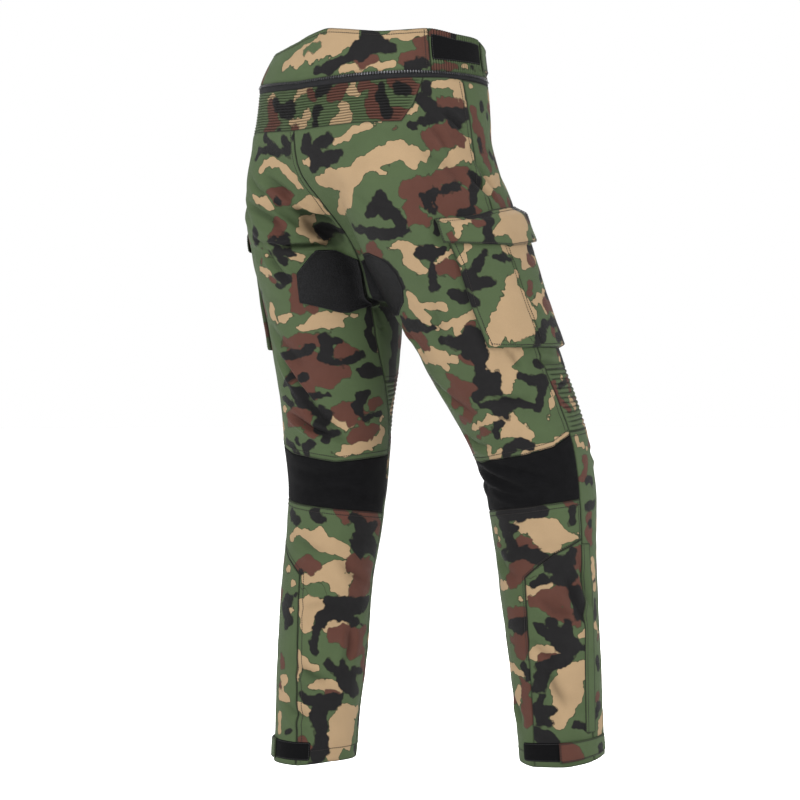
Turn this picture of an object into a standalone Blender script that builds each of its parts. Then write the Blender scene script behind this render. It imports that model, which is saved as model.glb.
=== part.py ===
"""Motorcycle cargo trousers as a hollow worn garment, cut and sewn from flat cloth.

Metres, +Z up. The front of the garment faces -Y, the wearer's right is -X, the back is +Y.
The origin is the middle of the waist opening, at the waistband's mid height.
The worn form is a stack of horizontal sections: one trunk oval and two leg ovals, joined by a soft minimum.
The form is the inner face of the cloth. Each piece is a patch of it, between two directions round the leg and two heights,
made 1.6 mm thick outwards, so that pieces which meet at a seam don't run into each other on the rounded side.
"""

from math import pi, radians

import bpy
import numpy as np
from mathutils import Vector
from mathutils.bvhtree import BVHTree

CLOTH = 0.0016          # thickness of the outer cloth
WEBBING = 0.0014        # thickness of the hook and loop panels and of the zip tape
GRIP = 0.0014           # thickness of the seat patches
SEAM = 0.0003           # gap between two pieces at a seam
LAY = 0.0012            # gap under a piece that lies on a panel
OVER = CLOTH + LAY      # inner face of a piece that lies on a panel, out from the form
BLEND = 0.024           # how softly the trunk and the legs run into each other
POCKET_DEPTH = 0.011    # bellows of the cargo pocket
FLAP_OVER = 0.0024      # cargo flap over the pocket's face
RIB_BACK = 0.0016       # height of a rib of the back stretch panel
RIB_KNEE = 0.0020       # height of a rib of the knee panel
BACK_RIBS = 15
KNEE_RIBS = 13
REACH = 0.02            # how far outside a panel the search for its face begins
SNAP_X = -0.006         # the front snap: place, radius and height
SNAP_Z = -0.009
SNAP_RADIUS = 0.0075
SNAP_HEIGHT = 0.0022

# Trunk sections: height, centre to the back, half widths to the wearer's right and left, depths to front and back, squareness.
TRUNK_COLUMNS = ("z", "aft", "right", "left", "front", "back", "power")
TRUNK = [
    (0.070, 0.002, 0.174, 0.164, 0.132, 0.136, 2.2),
    (0.000, 0.002, 0.180, 0.174, 0.138, 0.141, 2.2),
    (-0.060, 0.002, 0.189, 0.179, 0.141, 0.147, 2.2),
    (-0.120, 0.002, 0.193, 0.183, 0.140, 0.153, 2.2),
    (-0.170, 0.000, 0.190, 0.182, 0.134, 0.140, 2.2),
    (-0.210, 0.000, 0.170, 0.168, 0.126, 0.098, 2.1),
    (-0.250, 0.000, 0.140, 0.140, 0.112, 0.054, 2.0),
    (-0.290, 0.000, 0.096, 0.096, 0.078, 0.024, 2.0),
    (-0.340, 0.000, 0.024, 0.024, 0.026, 0.010, 2.0),
]
# Leg sections: height, centre out from the middle plane, centre to the back, half widths out, in, to the front and to the back.
LEG_COLUMNS = ("z", "out", "aft", "r_out", "r_in", "r_front", "r_back", "power")
LEG_RIGHT = [
    (0.070, 0.074, 0.010, 0.030, 0.030, 0.040, 0.040, 2.0),
    (-0.100, 0.084, 0.006, 0.084, 0.062, 0.100, 0.110, 2.0),
    (-0.160, 0.092, 0.000, 0.104, 0.080, 0.130, 0.132, 2.0),
    (-0.210, 0.100, -0.012, 0.110, 0.090, 0.138, 0.140, 2.0),
    (-0.260, 0.107, -0.026, 0.112, 0.094, 0.137, 0.132, 2.0),
    (-0.340, 0.122, -0.060, 0.107, 0.111, 0.121, 0.112, 2.0),
    (-0.436, 0.138, -0.108, 0.102, 0.101, 0.106, 0.104, 2.0),
    (-0.500, 0.151, -0.139, 0.096, 0.096, 0.099, 0.096, 2.0),
    (-0.560, 0.160, -0.164, 0.089, 0.088, 0.093, 0.088, 2.0),
    (-0.620, 0.165, -0.180, 0.082, 0.080, 0.087, 0.078, 2.0),
    (-0.680, 0.167, -0.189, 0.076, 0.076, 0.080, 0.074, 2.0),
    (-0.760, 0.168, -0.199, 0.071, 0.071, 0.073, 0.071, 2.0),
    (-0.860, 0.169, -0.211, 0.068, 0.068, 0.068, 0.068, 2.0),
    (-0.960, 0.170, -0.222, 0.064, 0.064, 0.064, 0.064, 2.0),
    (-1.045, 0.171, -0.229, 0.0625, 0.0625, 0.0625, 0.0625, 2.0),
]
LEG_LEFT = [
    (0.070, 0.074, 0.010, 0.030, 0.030, 0.040, 0.040, 2.0),
    (-0.100, 0.082, 0.010, 0.080, 0.060, 0.090, 0.110, 2.0),
    (-0.160, 0.086, 0.012, 0.092, 0.076, 0.118, 0.134, 2.0),
    (-0.210, 0.090, 0.010, 0.096, 0.082, 0.124, 0.136, 2.0),
    (-0.260, 0.092, 0.006, 0.100, 0.084, 0.122, 0.130, 2.0),
    (-0.340, 0.096, -0.008, 0.096, 0.091, 0.114, 0.112, 2.0),
    (-0.436, 0.099, -0.018, 0.092, 0.092, 0.095, 0.094, 2.0),
    (-0.500, 0.101, -0.020, 0.085, 0.085, 0.086, 0.083, 2.0),
    (-0.560, 0.103, -0.023, 0.079, 0.079, 0.080, 0.079, 2.0),
    (-0.620, 0.104, -0.025, 0.073, 0.073, 0.075, 0.071, 2.0),
    (-0.680, 0.104, -0.019, 0.070, 0.070, 0.072, 0.069, 2.0),
    (-0.760, 0.104, -0.006, 0.067, 0.067, 0.067, 0.068, 2.0),
    (-0.860, 0.105, 0.005, 0.067, 0.067, 0.066, 0.067, 2.0),
    (-0.960, 0.105, 0.014, 0.062, 0.062, 0.063, 0.063, 2.0),
    (-1.045, 0.106, 0.021, 0.060, 0.060, 0.061, 0.061, 2.0),
]
SIDES = {"R": (-1.0, LEG_RIGHT), "L": (1.0, LEG_LEFT)}      # the sign of x on that side, and its leg

# Directions round a leg are degrees: 0 outwards, 90 to the back, 180 to the other leg, -90 to the front.
# The wearer's left foot is turned out, so that leg's seams turn with it: height, degrees.
TURN = {"R": [(-0.30, 0.0), (-0.52, 0.0)], "L": [(-0.30, 0.0), (-0.40, 9.0), (-0.52, 24.0)]}
INSEAM = 188.0
SIDE_SEAM = [(0.07, -4.0), (-0.04, -5.0), (-0.10, -8.0), (-0.22, -9.0), (-0.30, -5.0), (-0.38, -2.0), (-0.45, 1.0), (-0.64, 0.0), (-1.04, 0.0)]
# The seam between the calf's back and side panels leaves the side seam, slants back and runs down to the hem.
CALF_SEAM = [(-0.640, 0.0), (-0.698, 0.0), (-0.709, 18.0), (-0.720, 37.0), (-0.737, 56.0), (-0.755, 74.0),
             (-0.850, 79.0), (-1.000, 86.0), (-1.040, 87.0)]
# Heights where the rows of the panels meet their seams. Two panels of one seam share them.
SIDE_UPPER = (-0.085, -0.130, -0.175, -0.222, -0.270, -0.315, -0.358, -0.400)
SIDE_KNEE = (-0.475, -0.497, -0.519)
MIDDLE_BACK = (-0.135, -0.170, -0.205, -0.240, -0.276, -0.310)
MIDDLE_FRONT = (-0.100, -0.160, -0.220, -0.282)
INSEAM_UPPER = (-0.365, -0.400, -0.435)
SIDE_CALF = (-0.669, -0.698)
SIDE_LOWER = (-0.745, -0.800, -0.860, -0.920, -0.980)
# Shares of the way from the back edge to the front edge where the columns of the panels run.
BACK_SHARES = (0.0, 0.03, 0.095, 0.165, 0.235, 0.305, 0.375, 0.450)     # then the corners of the stretch panel's slanted end
BACK_LAST = (0.79, 0.89, 1.0)
FRONT_SHARES = (0.0, 0.145, 0.285, 0.425, 0.565, 0.705, 0.845, 0.970, 1.0)

# Top edge of the waistband and how far it leans in: direction about the origin (0 to the wearer's left, 90 back), height, lean.
BAND_COLUMNS = ("direction", "top", "lean")
BAND = [
    (0.0, 0.028, 0.016), (15.0, 0.027, 0.021), (30.0, 0.022, 0.025), (50.0, 0.018, 0.025), (66.0, 0.021, 0.021),
    (79.0, 0.026, 0.017), (90.0, 0.032, 0.013), (101.0, 0.036, 0.008), (109.0, 0.038, 0.004), (117.0, 0.036, 0.002),
    (132.0, 0.031, 0.000), (140.0, 0.029, 0.000), (152.0, 0.031, 0.001), (164.0, 0.034, 0.002), (178.0, 0.029, 0.001),
    (195.0, 0.026, 0.000), (205.0, 0.019, 0.000), (225.0, 0.013, 0.000), (270.0, 0.008, 0.001), (315.0, 0.012, 0.005),
    (340.0, 0.022, 0.010), (360.0, 0.028, 0.016),
]
BAND_FOOT = -0.028      # the waistband leans from this height up

# Height of the zip's teeth line and of the tape's lower edge, by direction round the side.
TEETH_LINE = [(-180.0, -0.028), (-30.0, -0.029), (10.0, -0.028), (45.0, -0.029), (75.0, -0.031), (93.0, -0.033), (125.0, -0.037)]
TAPE_FOOT = [(-180.0, -0.038), (-30.0, -0.038), (10.0, -0.036), (45.0, -0.039), (75.0, -0.043), (93.0, -0.045), (125.0, -0.048)]
STRETCH_END = [(-0.0376, 31.0), (-0.076, 40.0), (-0.101, 50.0)]                   # slanted end of the back stretch panel
STRETCH_FOOT = [(31.0, -0.0995), (50.0, -0.101), (82.0, -0.102), (125.0, -0.108)]
ELASTIC = (24.0, -34.0)                                                         # the gathered part of the waistband
KNEE_BACK_TOP = [(0.0, -0.545), (23.0, -0.563), (53.0, -0.575), (111.0, -0.588), (188.0, -0.578)]
KNEE_BACK_FOOT = [(0.0, -0.640), (57.0, -0.650), (114.0, -0.658), (188.0, -0.665)]
ACCORDION_TOP = [(-172.0, -0.468), (-90.0, -0.446), (0.0, -0.452)]
ACCORDION_FOOT = [(-172.0, -0.556), (-90.0, -0.528), (0.0, -0.541)]
HEM = [(-172.0, -1.030), (-90.0, -1.021), (-24.0, -1.023), (7.0, -1.030), (40.0, -1.036), (90.0, -1.038), (136.0, -1.032), (188.0, -1.030)]
FLAP_TOP = [(-57.0, -0.212), (-30.0, -0.217), (-9.0, -0.223), (5.0, -0.230), (21.0, -0.235), (42.0, -0.238)]
FLAP_FOOT = [(-57.0, -0.268), (-9.0, -0.277), (15.0, -0.275), (42.0, -0.272)]
POCKET_FOOT = -0.420
POCKET_ENDS = [(-0.23, 40.0, -56.0), (-0.30, 38.0, -55.0), (-0.36, 42.0, -53.0), (-0.42, 44.0, -51.0)]     # height, back, front
# Seat patches: height, outer edge and inner edge. The inner edge stops at the middle seam.
PATCH = {
    "L": [(-0.276, 127.0, 141.0), (-0.284, 121.0, 158.0), (-0.296, 115.0, 190.0), (-0.310, 110.0, 190.0), (-0.330, 111.0, 190.0),
          (-0.350, 113.0, 172.0), (-0.366, 138.0, 158.0)],
    "R": [(-0.283, 100.0, 124.0), (-0.290, 92.0, 141.0), (-0.300, 88.0, 180.0), (-0.316, 87.0, 180.0), (-0.334, 89.0, 180.0),
          (-0.354, 96.0, 150.0), (-0.372, 114.0, 136.0)],
}
# Largest folds: side, from height and direction, to height and direction, depth out (minus is a trough), half width.
FOLD_COLUMNS = ("side", "z_a", "turn_a", "z_b", "turn_b", "depth", "width")
FOLDS = [
    ("L", -0.272, 62.0, -0.276, 112.0, -0.0070, 0.016),
    ("L", -0.190, 70.0, -0.255, 140.0, -0.0050, 0.016),
    ("L", -0.160, 95.0, -0.225, 145.0, 0.0040, 0.016),
    ("L", -0.470, 60.0, -0.530, 110.0, -0.0040, 0.016),
    ("R", -0.150, 20.0, -0.205, 2.0, -0.0035, 0.014),
    ("R", -0.440, 150.0, -0.400, 100.0, -0.0040, 0.018),
    ("R", -0.780, 50.0, -0.820, 24.0, -0.0030, 0.014),
    ("L", -0.790, 150.0, -0.850, 110.0, -0.0030, 0.014),
    ("R", -0.250, -95.0, -0.300, -140.0, -0.0055, 0.018),
    ("L", -0.240, -95.0, -0.300, -140.0, -0.0055, 0.018),
    ("R", -0.600, -50.0, -0.640, -120.0, -0.0040, 0.016),
    ("L", -0.600, -50.0, -0.630, -120.0, -0.0040, 0.016),
]


def table(rows, at):
    """The second column of a short table at the given values of its first, by straight lines."""
    rows = sorted(rows)
    return np.interp(at, [r[0] for r in rows], [r[1] for r in rows])


def columns(rows, z):
    """All columns of a section table at heights z, by a smooth curve through its rows."""
    rows = np.array(rows)[::-1]
    heights, cols = rows[:, 0], rows[:, 1:]
    slope = np.gradient(cols, heights, axis=0)
    z = np.clip(np.asarray(z, float), heights[0], heights[-1])
    i = np.clip(np.searchsorted(heights, z, side="right") - 1, 0, len(heights) - 2)
    h = (heights[i + 1] - heights[i])[..., None]
    t = (z - heights[i])[..., None] / h
    a, b = cols[i], cols[i + 1]
    ma, mb = slope[i] * h, slope[i + 1] * h
    out = (2 * t**3 - 3 * t**2 + 1) * a + (t**3 - 2 * t**2 + t) * ma + (3 * t**2 - 2 * t**3) * b + (t**3 - t**2) * mb
    return np.moveaxis(out, -1, 0)


def oval(dx, dy, x_plus, x_minus, y_plus, y_minus, power):
    """Distance out from an oval with four half widths: negative inside."""
    a = np.where(dx > 0, x_plus, x_minus)
    b = np.where(dy > 0, y_plus, y_minus)
    g = ((np.abs(dx) / a) ** power + (np.abs(dy) / b) ** power) ** (1 / power)
    return np.where(g > 1e-6, np.hypot(dx, dy) * (1 - 1 / np.maximum(g, 1e-6)), -np.minimum(a, b))


def soft_min(p, q, k):
    h = np.clip(0.5 + 0.5 * (q - p) / k, 0, 1)
    return q + (p - q) * h - k * h * (1 - h)


class Form:
    """The form's sections at given heights."""

    def __init__(self, z):
        z = np.asarray(z, float)
        self.trunk = columns(TRUNK, z)
        self.below = z < TRUNK[-1][0]
        self.legs = {side: columns(rows, z) for side, (_, rows) in SIDES.items()}

    def field(self, x, y):
        aft, right, left, front, back, power = self.trunk
        found = np.where(self.below, 0.06, oval(x, y - aft, left, right, back, front, power))
        for side, (sign, _) in SIDES.items():
            out, aft, r_out, r_in, r_front, r_back, power = self.legs[side]
            leg = oval((x - sign * out) * sign, y - aft, r_out, r_in, r_back, r_front, power)
            found = soft_min(found, leg, BLEND)
        return found

    def centre(self, side):
        return SIDES[side][0] * self.legs[side][0], self.legs[side][1]


def crotch():
    """The lowest point where the two sides still meet at the middle plane."""
    y = np.linspace(-0.12, 0.14, 521)
    low, high = -0.45, -0.15
    for _ in range(26):
        mid = (low + high) / 2
        if Form(np.full_like(y, mid)).field(0 * y, y).min() < 0:
            high = mid
        else:
            low = mid
    return high, float(y[np.argmin(Form(np.full_like(y, high)).field(0 * y, y))])


CROTCH_Z, CROTCH_Y = crotch()


def rise_y(z, way):
    """y of the middle seam at heights z: way is 1 for the back and -1 for the front."""
    z = np.maximum(np.asarray(z, float), CROTCH_Z + 1e-7)
    form = Form(z)
    inner, outer = np.full(z.shape, CROTCH_Y), np.full(z.shape, 0.25 * way)
    for _ in range(30):
        mid = (inner + outer) / 2
        out = form.field(0 * mid, mid) > 0
        outer, inner = np.where(out, mid, outer), np.where(out, inner, mid)
    return (inner + outer) / 2


def turn(side, z):
    return table(TURN[side], z)


EDGES = {}


def limits(side, z):
    """Directions, in degrees, of the front and the back edge of a side: the middle seam above the crotch, the inseam below it."""
    if side not in EDGES:
        sign = SIDES[side][0]
        heights = CROTCH_Z + (0.085 - CROTCH_Z) * np.linspace(0, 1, 700) ** 2
        cx, cy = Form(heights).centre(side)
        front = np.degrees(np.arctan2(rise_y(heights, -1) - cy, -cx * sign)) % 360 - 360
        back = np.degrees(np.arctan2(rise_y(heights, 1) - cy, -cx * sign)) % 360
        EDGES[side] = heights, front, back
    heights, front, back = EDGES[side]
    z = np.asarray(z, float)
    start = (front[0] + 360 + back[0]) / 2
    t = np.clip((CROTCH_Z - z) / 0.22, 0, 1)
    seam = start + (INSEAM + turn(side, z) - start) * (t * t * (3 - 2 * t))
    above = z > CROTCH_Z
    return np.where(above, np.interp(z, heights, front), seam - 360), np.where(above, np.interp(z, heights, back), seam)


def bare(side, way, z):
    """Points of the form, with no folds or lean, and their centres and directions."""
    sign = SIDES[side][0]
    way, z = np.broadcast_arrays(np.asarray(way, float), np.asarray(z, float))
    form = Form(z)
    cx, cy = form.centre(side)
    ux, uy = sign * np.cos(np.radians(way)), np.sin(np.radians(way))
    inward = ux * sign < -1e-3
    far = np.where(inward, np.minimum(0.30, -cx / np.where(inward, ux, 1)), 0.30)
    low, high, done = np.zeros(way.shape), far.copy(), np.zeros(way.shape, bool)
    for share in np.linspace(0.08, 1, 22)[:-1]:
        r = share * far
        out = form.field(cx + r * ux, cy + r * uy) > 0
        high = np.where(out & ~done, r, high)
        done |= out
        low = np.where(done, low, r)
    for _ in range(15):
        mid = (low + high) / 2
        out = form.field(cx + mid * ux, cy + mid * uy) > 0
        high, low = np.where(out, mid, high), np.where(out, low, mid)
    r = (low + high) / 2
    return np.stack([cx + r * ux, cy + r * uy, z], -1), np.stack([ux, uy, 0 * ux], -1), r


def band(points, column):
    """The waistband table's column at points round the waist."""
    direction = np.degrees(np.arctan2(points[..., 1], points[..., 0])) % 360
    k = BAND_COLUMNS.index(column)
    return np.interp(direction, [r[0] for r in BAND], [r[k] for r in BAND])


FOLD_LINES = []


def fold_lines():
    """The folds' ends as points of the form."""
    if not FOLD_LINES:
        for side, z_a, turn_a, z_b, turn_b, depth, width in FOLDS:
            z = np.linspace(z_a, z_b, 7)
            way = np.linspace(turn_a, turn_b, 7) + turn(side, z)
            FOLD_LINES.append((side, bare(side, way, z)[0], depth, width))
    return FOLD_LINES


def folded(side, points):
    """How far out the folds move these points of the form."""
    moved = np.zeros(points.shape[:-1])
    for on, line, depth, width in fold_lines():
        if on != side:
            continue
        a, b = line[:-1], line[1:]
        ab = b - a
        t = np.clip(((points[..., None, :] - a) * ab).sum(-1) / (ab * ab).sum(-1), 0, 1)
        away = np.linalg.norm(points[..., None, :] - (a + t[..., None] * ab), axis=-1)
        k = away.argmin(-1)
        along = (k + np.take_along_axis(t, k[..., None], -1)[..., 0]) / len(a)
        moved = moved + depth * np.exp(-((away.min(-1) / width) ** 2)) * np.sin(pi * np.clip(along, 0.04, 0.96)) ** 0.6
    near = np.clip(np.abs(points[..., 0]) / 0.022, 0, 1)
    return moved * np.where(points[..., 2] > CROTCH_Z - 0.03, near * near * (3 - 2 * near), 1.0)


def place(side, way, z, lift=0.0):
    """Points of the worn cloth's inner face at directions way (degrees) and heights z, moved out by lift."""
    def at(w, h):
        front, back = limits(side, h)
        w = np.where(h > CROTCH_Z, np.clip(w, front, back), w)
        p, u, _ = bare(side, w, h)
        p = p + u * folded(side, p)[..., None]
        up = np.clip((p[..., 2] - BAND_FOOT) / 0.06, 0, 1)
        flat = np.stack([p[..., 0], p[..., 1], 0 * up], -1)
        return p - flat / np.linalg.norm(flat, axis=-1, keepdims=True) * (band(p, "lean") * up**1.4)[..., None]

    way, z = np.broadcast_arrays(np.asarray(way, float), np.asarray(z, float))
    p = at(way, z)
    if np.ndim(lift) == 0 and lift == 0:
        return p
    across = at(way - 1.0, z) - at(way + 1.0, z)
    down = at(way, z - 0.003) - at(way, z + 0.003)
    n = np.cross(across, down) * SIDES[side][0]
    n /= np.linalg.norm(n, axis=-1, keepdims=True)
    return p + n * np.broadcast_to(lift, way.shape)[..., None]


def patch(side, way_a, way_b, top, foot, across, rows, lift=0.0, gaps=(0.0, 0.0, 0.0, 0.0)):
    """Points of a patch of the form. way_a and way_b give its back and front edge at a height. top and foot give its heights at
    a direction. across holds shares from the back edge to the front edge. rows is either shares from the top to the foot, or a
    pair of tuples with the heights of the inner rows at the back edge and at the front edge. gaps are those left at the top,
    the foot, the back edge and the front edge."""
    S = np.asarray(across, float)

    def ways(S, z):
        a, b = way_a(z), way_b(z)
        gap_a, gap_b = (gap(z) if callable(gap) else gap for gap in gaps[2:])
        a = a - np.degrees(gap_a / bare(side, a, z)[2])
        b = b + np.degrees(gap_b / bare(side, b, z)[2])
        return a + (b - a) * S

    z_top, z_foot = np.full(S.shape, -0.3), np.full(S.shape, -0.3)
    for _ in range(10):
        z_top, z_foot = top(ways(S, z_top)) - gaps[0], foot(ways(S, z_foot)) + gaps[1]
    if isinstance(rows, tuple):
        shares = [(np.array(rows[k]) - z_top[-k]) / (z_foot[-k] - z_top[-k]) for k in (0, 1)]
        T = np.concatenate([0 * S[None], shares[0][:, None] * (1 - S) + shares[1][:, None] * S, 0 * S[None] + 1])
    else:
        T = np.asarray(rows, float)[:, None] + 0 * S
    z = z_top + (z_foot - z_top) * T
    across_all = np.broadcast_to(S, z.shape)
    points = place(side, ways(across_all, z), z, lift(across_all, T) if callable(lift) else lift)
    # At the middle seam the outermost strip runs square to the middle plane, half a gap from it.
    for edge, beside, gap in ((0, 1, gaps[2]), (-1, -2, gaps[3])):
        if gap is MIDDLE_GAP:
            rows_above = z[:, edge] > CROTCH_Z - 1e-4
            points[rows_above, edge, 0] = SIDES[side][0] * MIDDLE_GAP(z[rows_above, edge])
            points[rows_above, beside, 1:] = points[rows_above, edge, 1:]
    return points


def MIDDLE_GAP(z):
    """Half the gap at the middle seam and the inseam: wider where four panels meet at the crotch."""
    return SEAM / 2 + 0.0007 * np.exp(-(((z - CROTCH_Z) / 0.012) ** 2))


GRIDS = {}


def normals(points, flip):
    n = np.cross(np.gradient(points, axis=0), np.gradient(points, axis=1)) * (1 if flip else -1)
    return n / np.linalg.norm(n, axis=-1, keepdims=True)


def quads(rows, cols, first=0):
    """Corner indices of the cells of a grid of points."""
    k = first + np.arange(rows - 1)[:, None] * cols + np.arange(cols - 1)
    return np.stack([k, k + cols, k + cols + 1, k + 1], -1).reshape(-1, 4)


def lying_on(hosts, points, out, cells, gap):
    """Inner face of a piece that lies on others, moved out until it clears their outer faces everywhere by the gap."""
    vertices, faces = [], []
    for name in hosts:
        grid = GRIDS[name]
        faces += quads(*grid.shape[:2], len(vertices)).tolist()
        vertices += grid.reshape(-1, 3).tolist()
    tree = BVHTree.FromPolygons(vertices, faces)
    u, v = (a.ravel() for a in np.meshgrid(np.linspace(0, 1, 5), np.linspace(0, 1, 5)))
    weights = np.stack([(1 - u) * (1 - v), u * (1 - v), u * v, (1 - u) * v], -1)
    shape, points, out = points.shape, points.reshape(-1, 3).copy(), out.reshape(-1, 3)
    for _ in range(6):
        short = np.zeros(len(points))
        for cell in cells:
            samples, ways = weights @ points[cell], weights @ out[cell]
            ways /= np.linalg.norm(ways, axis=-1, keepdims=True)
            for p, n in zip(samples, ways):
                away = tree.ray_cast(Vector(p + n * REACH), Vector(-n), 2 * REACH)[3]
                if away is not None:
                    short[cell] = np.maximum(short[cell], gap - (away - REACH))
        if short.max() < 1e-5:
            break
        points += out * short[:, None]
    return points.reshape(shape)


def solid_of(name, points, thickness, material, flip=False, hosts=()):
    """A named piece: its inner face as an open grid of faces, then a Solidify modifier outward. It clears its hosts."""
    if hosts:
        points = lying_on(hosts, points, normals(points, flip), quads(*points.shape[:2]), LAY / 2)
    GRIDS[name] = points + normals(points, flip) * thickness
    faces = quads(*points.shape[:2])
    mesh = bpy.data.meshes.new(name)
    mesh.from_pydata(points.reshape(-1, 3).tolist(), [], (faces if flip else faces[:, ::-1]).tolist())
    mesh.update()
    obj = bpy.data.objects.new(name, mesh)
    GARMENT.objects.link(obj)
    obj.data.materials.append(material)
    shell = obj.modifiers.new("thickness", "SOLIDIFY")
    shell.thickness = thickness
    shell.offset = 1.0
    shell.use_rim = True
    return obj


def material(name, colour, roughness):
    made = bpy.data.materials.new(name)
    made.use_nodes = True
    made.node_tree.nodes["Principled BSDF"].inputs["Base Color"].default_value = (*colour, 1.0)
    made.node_tree.nodes["Principled BSDF"].inputs["Roughness"].default_value = roughness
    made.diffuse_color = (*colour, 1.0)
    return made


ALL_ROUND = (SEAM / 2,) * 4
OPEN_TOP = (0.0, SEAM / 2, SEAM / 2, SEAM / 2)


def seam_line(rows, side):
    return lambda z: table(rows, z) + turn(side, z)


def level(rows, side):
    """Heights by direction, with the leg's turn taken out at the height of the table's first row."""
    about = rows[0][1]
    return lambda way: table(rows, way - turn(side, about))


def flat(z):
    return lambda way: np.full(np.shape(way), z)


def back_top(way):
    """Upper edge of the back leg panel: under the stretch panel, up its slanted end, then under the zip tape."""
    slant = sorted((w, z) for z, w in STRETCH_END)
    climb = np.minimum(np.interp(way, [r[0] for r in slant], [r[1] for r in slant]), table(TAPE_FOOT, way))
    return np.where(way > slant[-1][0], table(STRETCH_FOOT, way), np.where(way < slant[0][0], table(TAPE_FOOT, way), climb))


def band_top(side):
    return lambda way: band(bare(side, way, np.full(np.shape(way), 0.01))[0], "top")


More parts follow.
